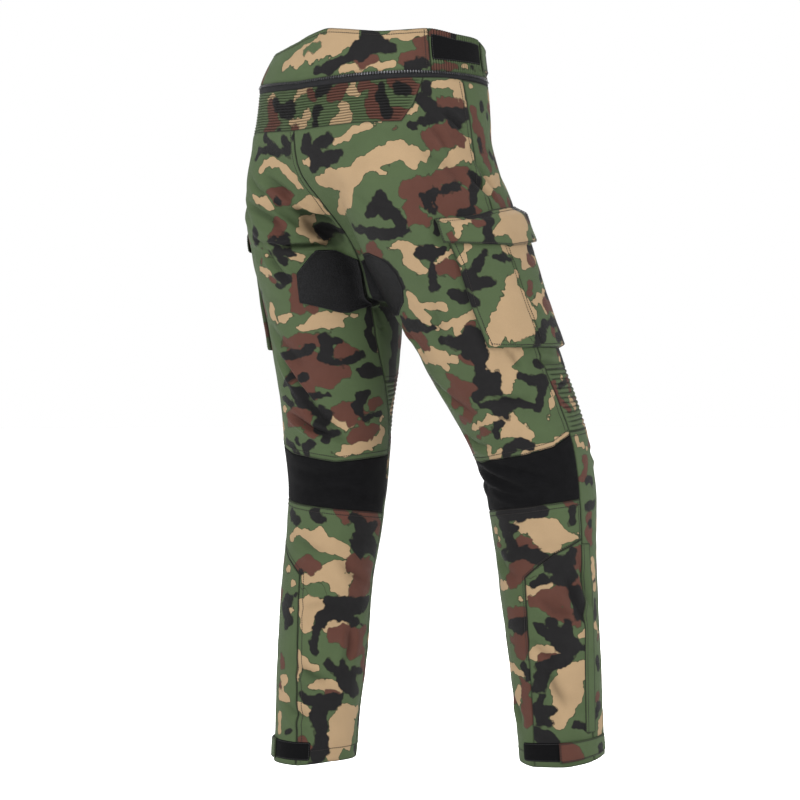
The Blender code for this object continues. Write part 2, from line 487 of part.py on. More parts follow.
def build_side(side):
    back_edge = lambda z: limits(side, z)[1]
    front_edge = lambda z: limits(side, z)[0]
    side_seam, calf_seam = seam_line(SIDE_SEAM, side), seam_line(CALF_SEAM, side)
    line = lambda rows: seam_line(rows, side)

    def make(name, points, thickness, colour, hosts=()):
        return solid_of(f"{name}_{side}", points, thickness, colour, side == "R", [f"{host}_{side}" for host in hosts])

    back_gaps = (2 * SEAM, SEAM / 2, MIDDLE_GAP, SEAM / 2)
    front_gaps = (SEAM / 2, SEAM / 2, SEAM / 2, MIDDLE_GAP)

    # upper back leg panel: from the stretch panel and the zip tape down to the back-knee panel
    knee_top, knee_foot = level(KNEE_BACK_TOP, side), level(KNEE_BACK_FOOT, side)
    accordion_top, accordion_foot = level(ACCORDION_TOP, side), level(ACCORDION_FOOT, side)
    corners = [float((back_edge(z) - w) / (back_edge(z) - side_seam(z))) for z, w in STRETCH_END[::-1]]
    across_back = np.array([*BACK_SHARES, *corners, *BACK_LAST])
    inner = (*MIDDLE_BACK, CROTCH_Z, *INSEAM_UPPER, -0.468, -0.512, -0.556)
    outer = (*SIDE_UPPER, -0.452, *SIDE_KNEE, -0.541)
    make("back", patch(side, back_edge, side_seam, back_top, knee_top, across_back, (inner, outer), 0.0, back_gaps), CLOTH, CAMO_BACK)

    # upper front leg panel: from the tape down to the knee accordion
    across_front = np.array(FRONT_SHARES)
    tape = lambda way: table(TAPE_FOOT, way)
    inner = (*MIDDLE_FRONT, CROTCH_Z, *INSEAM_UPPER)
    make("front", patch(side, side_seam, front_edge, tape, accordion_top, across_front, (SIDE_UPPER, inner), 0.0, front_gaps), CLOTH, CAMO_FRONT)

    # knee accordion, with ribs across
    ribs = lambda S, T: np.where(np.round(T * 2 * KNEE_RIBS) % 2 == 1, 0.0, -RIB_KNEE)
    make("knee_accordion", patch(side, side_seam, front_edge, accordion_top, accordion_foot, across_front, np.linspace(0, 1, 2 * KNEE_RIBS + 1), ribs, ALL_ROUND), CLOTH, CAMO_FRONT)

    # back-knee stretch panel
    make("knee_back", patch(side, back_edge, side_seam, knee_top, knee_foot, across_back, ((-0.607, -0.636), (-0.577, -0.609)), 0.0, ALL_ROUND), CLOTH, STRETCH_BLACK)

    # lower leg: front, back and side
    hem = level(HEM, side)
    outer = (-0.545, -0.577, -0.609, -0.640, *SIDE_CALF, *SIDE_LOWER)
    inner = (-0.578, -0.607, -0.636, -0.665, -0.690, -0.720, *SIDE_LOWER)
    make("shin_front", patch(side, side_seam, front_edge, accordion_foot, hem, across_front, (outer, inner), 0.0, ALL_ROUND), CLOTH, CAMO_FRONT)
    outer = (-0.669, *[z for z, _ in CALF_SEAM[1:6]], -0.776, *SIDE_LOWER[1:])
    inner = (-0.678, -0.692, -0.706, -0.720, -0.736, -0.754, -0.776, *SIDE_LOWER[1:])
    across = np.linspace(0, 1, 9)
    make("calf_back", patch(side, back_edge, calf_seam, knee_foot, hem, across, (inner, outer), 0.0, ALL_ROUND), CLOTH, CAMO_BACK)
    slant = sorted((w, z) for z, w in CALF_SEAM[1:6])
    side_top = lambda way: np.interp(way - turn(side, -0.72), [r[0] for r in slant], [r[1] for r in slant])
    across = np.array([1 - w / slant[-1][0] for w, _ in slant[::-1]])
    inner = (-0.776, *SIDE_LOWER[1:])
    make("calf_side", patch(side, line(CALF_SEAM[5:]), side_seam, side_top, hem, across, (inner, SIDE_LOWER), 0.0, ALL_ROUND), CLOTH, CAMO_BACK)

    # storm flap over the leg opening's fastening
    storm_back, storm_front = line([(-0.70, 2.0), (-0.79, 3.0), (-0.85, 6.0), (-0.99, 13.0)]), line([(-0.70, -11.0), (-0.79, -11.0), (-0.85, -9.0), (-0.99, -3.0)])
    make("leg_flap", patch(side, storm_back, storm_front, flat(-0.706), flat(-0.986), np.linspace(0, 1, 3), np.linspace(0, 1, 9), OVER), CLOTH, CAMO_BACK, ["calf_side", "shin_front"])

    # hook and loop strip at the hem, and the tab over it
    strip_top, strip_foot = (lambda way: table([(-30.0, -0.995), (107.0, -1.003)], way)), (lambda way: table([(-30.0, -1.019), (50.0, -1.028), (107.0, -1.030)], way))
    make("hem_loop", patch(side, line([(-1.0, 106.0)]), line([(-1.0, 32.0)]), strip_top, strip_foot, np.linspace(0, 1, 6), np.linspace(0, 1, 3), OVER), WEBBING, LOOP_BLACK, ["calf_back", "calf_side"])
    tab_top, tab_foot = (lambda way: table([(-30.0, -0.990), (50.0, -1.000)], way)), (lambda way: table([(-30.0, -1.016), (50.0, -1.030)], way))
    over = lambda S, T: OVER + (WEBBING + LAY) * np.clip((0.42 - S) / 0.12, 0, 1)
    make("hem_tab", patch(side, line([(-1.0, 50.0)]), line([(-1.0, -34.0)]), tab_top, tab_foot, np.array([0, 0.10, 0.2, 0.3, 0.42, 0.6, 0.8, 1.0]), np.linspace(0, 1, 3), over), CLOTH, CAMO_FRONT, ["hem_loop", "calf_side", "shin_front"])

    # cargo pocket: a tray with gusset walls, open at its mouth under the flap
    heights = [r[0] for r in POCKET_ENDS][::-1]
    pocket_back = lambda z: np.interp(z, heights, [r[1] for r in POCKET_ENDS][::-1]) + turn(side, z)
    pocket_front = lambda z: np.interp(z, heights, [r[2] for r in POCKET_ENDS][::-1]) + turn(side, z)
    mouth = lambda way: table(FLAP_TOP, way) - 0.017

    def bellows(S):
        return POCKET_DEPTH * (0.62 + 0.38 * np.clip(S / 0.3, 0, 1))

    def pocket_lift(S, T):
        wall = (S < 0.007) | (S > 0.993) | (T > 0.993)
        return np.where(wall, OVER, bellows(S) * (0.92 + 0.08 * np.sin(pi * T)))

    across, down = np.array([0.0, 0.014, 0.15, 0.30, 0.46, 0.62, 0.78, 0.986, 1.0]), np.array([0.0, 0.25, 0.50, 0.75, 0.985, 1.0])
    tray = [patch(side, pocket_back, pocket_front, mouth, flat(POCKET_FOOT), across, down, lift) for lift in (pocket_lift, 0.0)]
    rows, cols = tray[0].shape[:2]
    index = np.arange(rows * cols).reshape(rows, cols)
    rim = np.concatenate([index[:, 0], index[-1, 1:], index[-2::-1, -1]])
    rim_cells = np.stack([rim[:-1], rim[1:], rim[1:], rim[:-1]], -1)
    out = normals(tray[1], side == "R")
    make("cargo_pocket", lying_on([f"back_{side}", f"front_{side}"], tray[0], out, rim_cells, LAY), CLOTH, CAMO_BACK)

    def flap_lift(S, T):
        near, far = OVER, bellows(S) + CLOTH + FLAP_OVER
        return near + (far - near) * np.clip(T / 0.30, 0, 1) + 0.004 * T * np.clip((S - 0.55) / 0.45, 0, 1)

    make("cargo_flap", patch(side, line([(-0.23, 43.0)]), line([(-0.23, -58.0)]), lambda way: table(FLAP_TOP, way), lambda way: table(FLAP_FOOT, way),
         np.linspace(0, 1, 9), np.array([0.0, 0.15, 0.30, 0.65, 1.0]), flap_lift), CLOTH, CAMO_FRONT, ["back", "front", "cargo_pocket"])

    # seat patch, up to the middle seam
    rows = PATCH[side]
    heights = [r[0] for r in rows][::-1]
    outer = lambda z: np.interp(z, heights, [r[1] for r in rows][::-1])
    inner = lambda z: np.minimum(np.interp(z, heights, [r[2] for r in rows][::-1]), limits(side, z)[1] - 1.6)
    down = np.array([(r[0] - rows[0][0]) / (rows[-1][0] - rows[0][0]) for r in rows])
    make("seat_patch", patch(side, inner, outer, flat(rows[0][0]), flat(rows[-1][0]), np.linspace(0, 1, 8), down, OVER), GRIP, PATCH_BLACK, ["back"])

    # waistband: gathered elastic side, plain front, hook and loop panel and adjuster tab
    teeth = lambda way: table(TEETH_LINE, way)
    top = band_top(side)
    make("waistband_side", patch(side, line([(0.0, ELASTIC[0])]), line([(0.0, ELASTIC[1])]), top, teeth, np.linspace(0, 1, 6), np.linspace(0, 1, 4), 0.0, OPEN_TOP), CLOTH, CAMO_BACK)
    make("waistband_front", patch(side, line([(0.0, ELASTIC[1])]), front_edge, top, teeth, np.linspace(0, 1, 8), np.linspace(0, 1, 4), 0.0, OPEN_TOP), CLOTH, CAMO_FRONT)
    make("waist_loop", patch(side, line([(0.0, 22.5)]), line([(0.0, -31.0)]), lambda way: top(way) - 0.0075, flat(-0.012), np.linspace(0, 1, 6), np.linspace(0, 1, 3), OVER), WEBBING, LOOP_BLACK, ["waistband_side"])
    make("waist_tab", patch(side, line([(0.0, -32.5)]), line([(0.0, -66.0)]), lambda way: top(way) - 0.002, flat(-0.020), np.linspace(0, 1, 6), np.linspace(0, 1, 3), OVER), CLOTH, CAMO_FRONT, ["waistband_front", "waistband_side"])


def across_back_middle(name, way_end, top, foot, across, rows, lift, gaps, thickness, colour):
    """A piece that crosses the middle of the back: its left half, reversed, then its right half."""
    halves = {}
    for side in "LR":
        gap = gaps[:2] + (0.0,) + gaps[3:]
        halves[side] = patch(side, lambda z: limits(side, z)[1], lambda z: way_end(side, z), top(side), foot, across, rows, lift, gap)
    middle = (halves["L"][:, :1] + halves["R"][:, :1]) / 2
    middle[..., 0] = 0.0
    return solid_of(name, np.concatenate([halves["L"][:, :0:-1], middle, halves["R"][:, 1:]], 1), thickness, colour, True)


def build_middle():
    teeth, tape_foot = (lambda way: table(TEETH_LINE, way)), (lambda way: table(TAPE_FOOT, way))
    # waistband back, contoured
    across_back_middle("waistband_back", lambda side, z: np.full(np.shape(z), ELASTIC[0]), band_top, teeth, np.linspace(0, 1, 8), np.linspace(0, 1, 4), 0.0,
                       OPEN_TOP, CLOTH, CAMO_BACK)
    # connection zip's tape, from one side of the front fastening round the back to the other
    across_back_middle("connection_zip", lambda side, z: limits(side, z)[0], lambda side: teeth, tape_foot, np.linspace(0, 1, 17), np.linspace(0, 1, 2), 0.0,
                       ALL_ROUND, WEBBING, TAPE_BLACK)
    # back stretch panel with its ribs
    slant = sorted(STRETCH_END)
    end = lambda side, z: np.interp(z, [r[0] for r in slant], [r[1] for r in slant])
    ribs = lambda S, T: np.where(np.round(T * 2 * BACK_RIBS) % 2 == 1, 0.0, -RIB_BACK)
    across_back_middle("back_stretch", end, lambda side: tape_foot, lambda way: table(STRETCH_FOOT, way), np.linspace(0, 1, 6),
                       np.linspace(0, 1, 2 * BACK_RIBS + 1), ribs, (3 * SEAM, SEAM, SEAM / 2, SEAM / 2), CLOTH, CAMO_BACK)


def build_front_fastening():
    # fly flap on the wearer's left front
    width = lambda z: np.interp(z, [-0.205, -0.190, -0.165, -0.03], [0.010, 0.024, 0.034, 0.034])
    fly_edge = lambda z: limits("L", z)[0] + np.degrees(width(z) / bare("L", limits("L", z)[0] + 8, z)[2])
    fly_middle = lambda z: limits("L", z)[0] + 0.4
    points = patch("L", fly_edge, fly_middle, flat(-0.0405), flat(-0.204), np.linspace(0, 1, 4), np.array([0, 0.2, 0.4, 0.6, 0.77, 0.92, 1.0]), OVER)
    solid_of("fly_flap", points, CLOTH, CAMO_FRONT, False, ["front_L"])
    # waist fastening across the middle of the front, with its snap
    halves = {}
    for side, reach in (("L", 0.034), ("R", 0.026)):
        far = lambda z: limits(side, z)[0] + np.degrees(reach / 0.155)
        near = lambda z: limits(side, z)[0]
        halves[side] = patch(side, far, near, flat(0.0045), flat(-0.023), np.linspace(0, 1, 4), np.linspace(0, 1, 3), OVER)
    middle = (halves["L"][:, -1:] + halves["R"][:, -1:]) / 2
    middle[..., 0] = 0.0
    points = np.concatenate([halves["L"][:, :-1], middle, halves["R"][:, -2::-1]], 1)
    solid_of("waist_fastening", points, CLOTH, CAMO_FRONT, False, ["waistband_front_L", "waistband_front_R"])
    face = GRIDS["waist_fastening"]
    bpy.ops.mesh.primitive_cylinder_add(vertices=16, radius=SNAP_RADIUS, depth=SNAP_HEIGHT)
    snap = bpy.context.active_object
    snap.name = snap.data.name = "waist_snap"
    snap.rotation_euler = (radians(90), 0, 0)
    snap.location = (SNAP_X, float(face[..., 1].min()) - SNAP_HEIGHT / 2 - SEAM, SNAP_Z)
    bevel = snap.modifiers.new("rounded edge", "BEVEL")
    bevel.width = 0.0006
    bevel.segments = 1
    bevel.limit_method = "ANGLE"
    snap.data.materials.append(SNAP_METAL)
    for old in list(snap.users_collection):
        old.objects.unlink(snap)
    GARMENT.objects.link(snap)


for old in list(bpy.data.objects):
    bpy.data.objects.remove(old, do_unlink=True)
bpy.context.scene.unit_settings.system = "METRIC"
bpy.context.scene.unit_settings.scale_length = 1.0
GARMENT = bpy.data.collections.new("cargo_trousers")
bpy.context.scene.collection.children.link(GARMENT)

CAMO_BACK = material("camouflage_cloth_back", (0.105, 0.125, 0.062), 0.78)
CAMO_FRONT = material("camouflage_cloth_front", (0.118, 0.132, 0.070), 0.78)
STRETCH_BLACK = material("black_stretch_cloth", (0.006, 0.006, 0.007), 0.85)
PATCH_BLACK = material("black_grip_patch", (0.022, 0.022, 0.024), 0.62)
LOOP_BLACK = material("black_hook_and_loop", (0.005, 0.005, 0.006), 0.95)
TAPE_BLACK = material("black_zip_tape", (0.012, 0.012, 0.013), 0.70)
SNAP_METAL = material("dark_snap_metal", (0.10, 0.10, 0.11), 0.35)

build_middle()
for which in "RL":
    build_side(which)
build_front_fastening()
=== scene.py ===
"""Motorcycle cargo trousers: the visible cloth, its stitching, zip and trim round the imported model, with a plain studio.

Each panel is a fine patch of the same worn form as its solid, with its creases, rolled seams, ribs and gathers, and a print in
its own metres, so that the camouflage breaks at the seams as it does on cut cloth.
"""

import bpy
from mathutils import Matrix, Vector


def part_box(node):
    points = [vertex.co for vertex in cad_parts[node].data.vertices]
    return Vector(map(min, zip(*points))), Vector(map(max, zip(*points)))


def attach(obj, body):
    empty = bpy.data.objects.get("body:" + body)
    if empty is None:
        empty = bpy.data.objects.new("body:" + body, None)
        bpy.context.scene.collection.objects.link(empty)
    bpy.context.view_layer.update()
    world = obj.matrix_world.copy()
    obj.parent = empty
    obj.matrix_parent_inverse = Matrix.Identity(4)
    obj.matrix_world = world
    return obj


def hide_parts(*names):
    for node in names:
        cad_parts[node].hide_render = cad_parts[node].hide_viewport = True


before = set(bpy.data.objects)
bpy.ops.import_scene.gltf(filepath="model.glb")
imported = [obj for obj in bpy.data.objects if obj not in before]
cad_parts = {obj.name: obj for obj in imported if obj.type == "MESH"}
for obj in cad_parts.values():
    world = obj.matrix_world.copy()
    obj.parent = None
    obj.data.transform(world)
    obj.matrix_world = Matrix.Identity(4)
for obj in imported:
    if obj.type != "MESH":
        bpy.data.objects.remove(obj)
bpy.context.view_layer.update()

from math import cos, pi, radians, sin

import bpy
import numpy as np
from mathutils import Vector, noise

CLOTH = 0.0016          # thickness of the outer cloth
WEBBING = 0.0014        # thickness of the hook and loop panels and of the zip tape
GRIP = 0.0014           # thickness of the seat patches
SEAM = -0.0002          # gap between two pieces at a seam (minus: they overlap by that much, so no light shows through)
BLEND = 0.024           # how softly the trunk and the legs run into each other
POCKET_DEPTH = 0.011    # bellows of the cargo pocket
FLAP_OVER = 0.0024      # cargo flap over the pocket's face
BACK_RIBS = 15
KNEE_RIBS = 13
SNAP_X = -0.006
SNAP_Z = -0.009
CELL = 0.0034     # size of a cell of the cloth

# Trunk sections: height, centre to the back, half widths to the wearer's right and left, depths to front and back, squareness.
TRUNK_COLUMNS = ("z", "aft", "right", "left", "front", "back", "power")
TRUNK = [
    (0.070, 0.002, 0.174, 0.164, 0.132, 0.136, 2.2),
    (0.000, 0.002, 0.180, 0.174, 0.138, 0.141, 2.2),
    (-0.060, 0.002, 0.189, 0.179, 0.141, 0.147, 2.2),
    (-0.120, 0.002, 0.193, 0.183, 0.140, 0.153, 2.2),
    (-0.170, 0.000, 0.190, 0.182, 0.134, 0.140, 2.2),
    (-0.210, 0.000, 0.170, 0.168, 0.126, 0.098, 2.1),
    (-0.250, 0.000, 0.140, 0.140, 0.112, 0.054, 2.0),
    (-0.290, 0.000, 0.096, 0.096, 0.078, 0.024, 2.0),
    (-0.340, 0.000, 0.024, 0.024, 0.026, 0.010, 2.0),
]
# Leg sections: height, centre out from the middle plane, centre to the back, half widths out, in, to the front and to the back.
LEG_COLUMNS = ("z", "out", "aft", "r_out", "r_in", "r_front", "r_back", "power")
LEG_RIGHT = [
    (0.070, 0.074, 0.010, 0.030, 0.030, 0.040, 0.040, 2.0),
    (-0.100, 0.084, 0.006, 0.084, 0.062, 0.100, 0.110, 2.0),
    (-0.160, 0.092, 0.000, 0.104, 0.080, 0.130, 0.132, 2.0),
    (-0.210, 0.100, -0.012, 0.110, 0.090, 0.138, 0.140, 2.0),
    (-0.260, 0.107, -0.026, 0.112, 0.094, 0.137, 0.132, 2.0),
    (-0.340, 0.122, -0.060, 0.107, 0.111, 0.121, 0.112, 2.0),
    (-0.436, 0.138, -0.108, 0.102, 0.101, 0.106, 0.104, 2.0),
    (-0.500, 0.151, -0.139, 0.096, 0.096, 0.099, 0.096, 2.0),
    (-0.560, 0.160, -0.164, 0.089, 0.088, 0.093, 0.088, 2.0),
    (-0.620, 0.165, -0.180, 0.082, 0.080, 0.087, 0.078, 2.0),
    (-0.680, 0.167, -0.189, 0.076, 0.076, 0.080, 0.074, 2.0),
    (-0.760, 0.168, -0.199, 0.071, 0.071, 0.073, 0.071, 2.0),
    (-0.860, 0.169, -0.211, 0.068, 0.068, 0.068, 0.068, 2.0),
    (-0.960, 0.170, -0.222, 0.064, 0.064, 0.064, 0.064, 2.0),
    (-1.045, 0.171, -0.229, 0.0625, 0.0625, 0.0625, 0.0625, 2.0),
]
LEG_LEFT = [
    (0.070, 0.074, 0.010, 0.030, 0.030, 0.040, 0.040, 2.0),
    (-0.100, 0.082, 0.010, 0.080, 0.060, 0.090, 0.110, 2.0),
    (-0.160, 0.086, 0.012, 0.092, 0.076, 0.118, 0.134, 2.0),
    (-0.210, 0.090, 0.010, 0.096, 0.082, 0.124, 0.136, 2.0),
    (-0.260, 0.092, 0.006, 0.100, 0.084, 0.122, 0.130, 2.0),
    (-0.340, 0.096, -0.008, 0.096, 0.091, 0.114, 0.112, 2.0),
    (-0.436, 0.099, -0.018, 0.092, 0.092, 0.095, 0.094, 2.0),
    (-0.500, 0.101, -0.020, 0.085, 0.085, 0.086, 0.083, 2.0),
    (-0.560, 0.103, -0.023, 0.079, 0.079, 0.080, 0.079, 2.0),
    (-0.620, 0.104, -0.025, 0.073, 0.073, 0.075, 0.071, 2.0),
    (-0.680, 0.104, -0.019, 0.070, 0.070, 0.072, 0.069, 2.0),
    (-0.760, 0.104, -0.006, 0.067, 0.067, 0.067, 0.068, 2.0),
    (-0.860, 0.105, 0.005, 0.067, 0.067, 0.066, 0.067, 2.0),
    (-0.960, 0.105, 0.014, 0.062, 0.062, 0.063, 0.063, 2.0),
    (-1.045, 0.106, 0.021, 0.060, 0.060, 0.061, 0.061, 2.0),
]
SIDES = {"R": (-1.0, LEG_RIGHT), "L": (1.0, LEG_LEFT)}      # the sign of x on that side, and its leg

# Directions round a leg are degrees: 0 outwards, 90 to the back, 180 to the other leg, -90 to the front.
# The wearer's left foot is turned out, so that leg's seams turn with it: height, degrees.
TURN = {"R": [(-0.30, 0.0), (-0.52, 0.0)], "L": [(-0.30, 0.0), (-0.40, 9.0), (-0.52, 24.0)]}
INSEAM = 188.0
SIDE_SEAM = [(0.07, -4.0), (-0.04, -5.0), (-0.10, -8.0), (-0.22, -9.0), (-0.30, -5.0), (-0.38, -2.0), (-0.45, 1.0), (-0.64, 0.0), (-1.04, 0.0)]
# The seam between the calf's back and side panels leaves the side seam, slants back and runs down to the hem.
CALF_SEAM = [(-0.640, 0.0), (-0.698, 0.0), (-0.709, 18.0), (-0.720, 37.0), (-0.737, 56.0), (-0.755, 74.0),
             (-0.850, 79.0), (-1.000, 86.0), (-1.040, 87.0)]
# Heights where the rows of the panels meet their seams. Two panels of one seam share them.
SIDE_UPPER = (-0.085, -0.130, -0.175, -0.222, -0.270, -0.315, -0.358, -0.400)
SIDE_KNEE = (-0.475, -0.497, -0.519)
MIDDLE_BACK = (-0.135, -0.170, -0.205, -0.240, -0.276, -0.310)
MIDDLE_FRONT = (-0.100, -0.160, -0.220, -0.282)
INSEAM_UPPER = (-0.365, -0.400, -0.435)
SIDE_CALF = (-0.669, -0.698)
SIDE_LOWER = (-0.745, -0.800, -0.860, -0.920, -0.980)
# Shares of the way from the back edge to the front edge where the columns of the panels run.
BACK_SHARES = (0.0, 0.03, 0.095, 0.165, 0.235, 0.305, 0.375, 0.450)     # then the corners of the stretch panel's slanted end
BACK_LAST = (0.79, 0.89, 1.0)
FRONT_SHARES = (0.0, 0.145, 0.285, 0.425, 0.565, 0.705, 0.845, 0.970, 1.0)

# Top edge of the waistband and how far it leans in: direction about the origin (0 to the wearer's left, 90 back), height, lean.
BAND_COLUMNS = ("direction", "top", "lean")
BAND = [
    (0.0, 0.028, 0.016), (15.0, 0.027, 0.021), (30.0, 0.022, 0.025), (50.0, 0.018, 0.025), (66.0, 0.021, 0.021),
    (79.0, 0.026, 0.017), (90.0, 0.032, 0.013), (101.0, 0.036, 0.008), (109.0, 0.038, 0.004), (117.0, 0.036, 0.002),
    (132.0, 0.031, 0.000), (140.0, 0.029, 0.000), (152.0, 0.031, 0.001), (164.0, 0.034, 0.002), (178.0, 0.029, 0.001),
    (195.0, 0.026, 0.000), (205.0, 0.019, 0.000), (225.0, 0.013, 0.000), (270.0, 0.008, 0.001), (315.0, 0.012, 0.005),
    (340.0, 0.022, 0.010), (360.0, 0.028, 0.016),
]
BAND_FOOT = -0.028      # the waistband leans from this height up

# Height of the zip's teeth line and of the tape's lower edge, by direction round the side.
TEETH_LINE = [(-180.0, -0.028), (-30.0, -0.029), (10.0, -0.028), (45.0, -0.029), (75.0, -0.031), (93.0, -0.033), (125.0, -0.037)]
TAPE_FOOT = [(-180.0, -0.038), (-30.0, -0.038), (10.0, -0.036), (45.0, -0.039), (75.0, -0.043), (93.0, -0.045), (125.0, -0.048)]
STRETCH_END = [(-0.0376, 31.0), (-0.076, 40.0), (-0.101, 50.0)]                   # slanted end of the back stretch panel
STRETCH_FOOT = [(31.0, -0.0995), (50.0, -0.101), (82.0, -0.102), (125.0, -0.108)]
ELASTIC = (24.0, -34.0)                                                         # the gathered part of the waistband
KNEE_BACK_TOP = [(0.0, -0.545), (23.0, -0.563), (53.0, -0.575), (111.0, -0.588), (188.0, -0.578)]
KNEE_BACK_FOOT = [(0.0, -0.640), (57.0, -0.650), (114.0, -0.658), (188.0, -0.665)]
ACCORDION_TOP = [(-172.0, -0.468), (-90.0, -0.446), (0.0, -0.452)]
ACCORDION_FOOT = [(-172.0, -0.556), (-90.0, -0.528), (0.0, -0.541)]
HEM = [(-172.0, -1.030), (-90.0, -1.021), (-24.0, -1.023), (7.0, -1.030), (40.0, -1.036), (90.0, -1.038), (136.0, -1.032), (188.0, -1.030)]
FLAP_TOP = [(-57.0, -0.212), (-30.0, -0.217), (-9.0, -0.223), (5.0, -0.230), (21.0, -0.235), (42.0, -0.238)]
FLAP_FOOT = [(-57.0, -0.268), (-9.0, -0.277), (15.0, -0.275), (42.0, -0.272)]
POCKET_FOOT = -0.420
POCKET_ENDS = [(-0.23, 40.0, -56.0), (-0.30, 38.0, -55.0), (-0.36, 42.0, -53.0), (-0.42, 44.0, -51.0)]     # height, back, front
# Seat patches: height, outer edge and inner edge. The inner edge stops at the middle seam.
PATCH = {
    "L": [(-0.275, 126.5, 143.0), (-0.286, 121.5, 160.0), (-0.297, 116.5, 200.0), (-0.309, 111.0, 200.0), (-0.330, 110.0, 200.0),
          (-0.351, 109.5, 180.0), (-0.367, 143.0, 150.0)],
    "R": [(-0.283, 102.0, 126.0), (-0.290, 94.0, 150.0), (-0.300, 88.5, 200.0), (-0.316, 87.0, 200.0), (-0.334, 89.0, 200.0),
          (-0.354, 97.0, 165.0), (-0.372, 116.0, 138.0)],
}
# Largest folds: side, from height and direction, to height and direction, depth out (minus is a trough), half width.
FOLD_COLUMNS = ("side", "z_a", "turn_a", "z_b", "turn_b", "depth", "width")
FOLDS = [
    ("L", -0.272, 62.0, -0.276, 112.0, -0.0070, 0.016),
    ("L", -0.190, 70.0, -0.255, 140.0, -0.0050, 0.016),
    ("L", -0.160, 95.0, -0.225, 145.0, 0.0040, 0.016),
    ("L", -0.470, 60.0, -0.530, 110.0, -0.0040, 0.016),
    ("R", -0.150, 20.0, -0.205, 2.0, -0.0035, 0.014),
    ("R", -0.440, 150.0, -0.400, 100.0, -0.0040, 0.018),
    ("R", -0.780, 50.0, -0.820, 24.0, -0.0030, 0.014),
    ("L", -0.790, 150.0, -0.850, 110.0, -0.0030, 0.014),
    ("R", -0.250, -95.0, -0.300, -140.0, -0.0055, 0.018),
    ("L", -0.240, -95.0, -0.300, -140.0, -0.0055, 0.018),
    ("R", -0.600, -50.0, -0.640, -120.0, -0.0040, 0.016),
    ("L", -0.600, -50.0, -0.630, -120.0, -0.0040, 0.016),
]

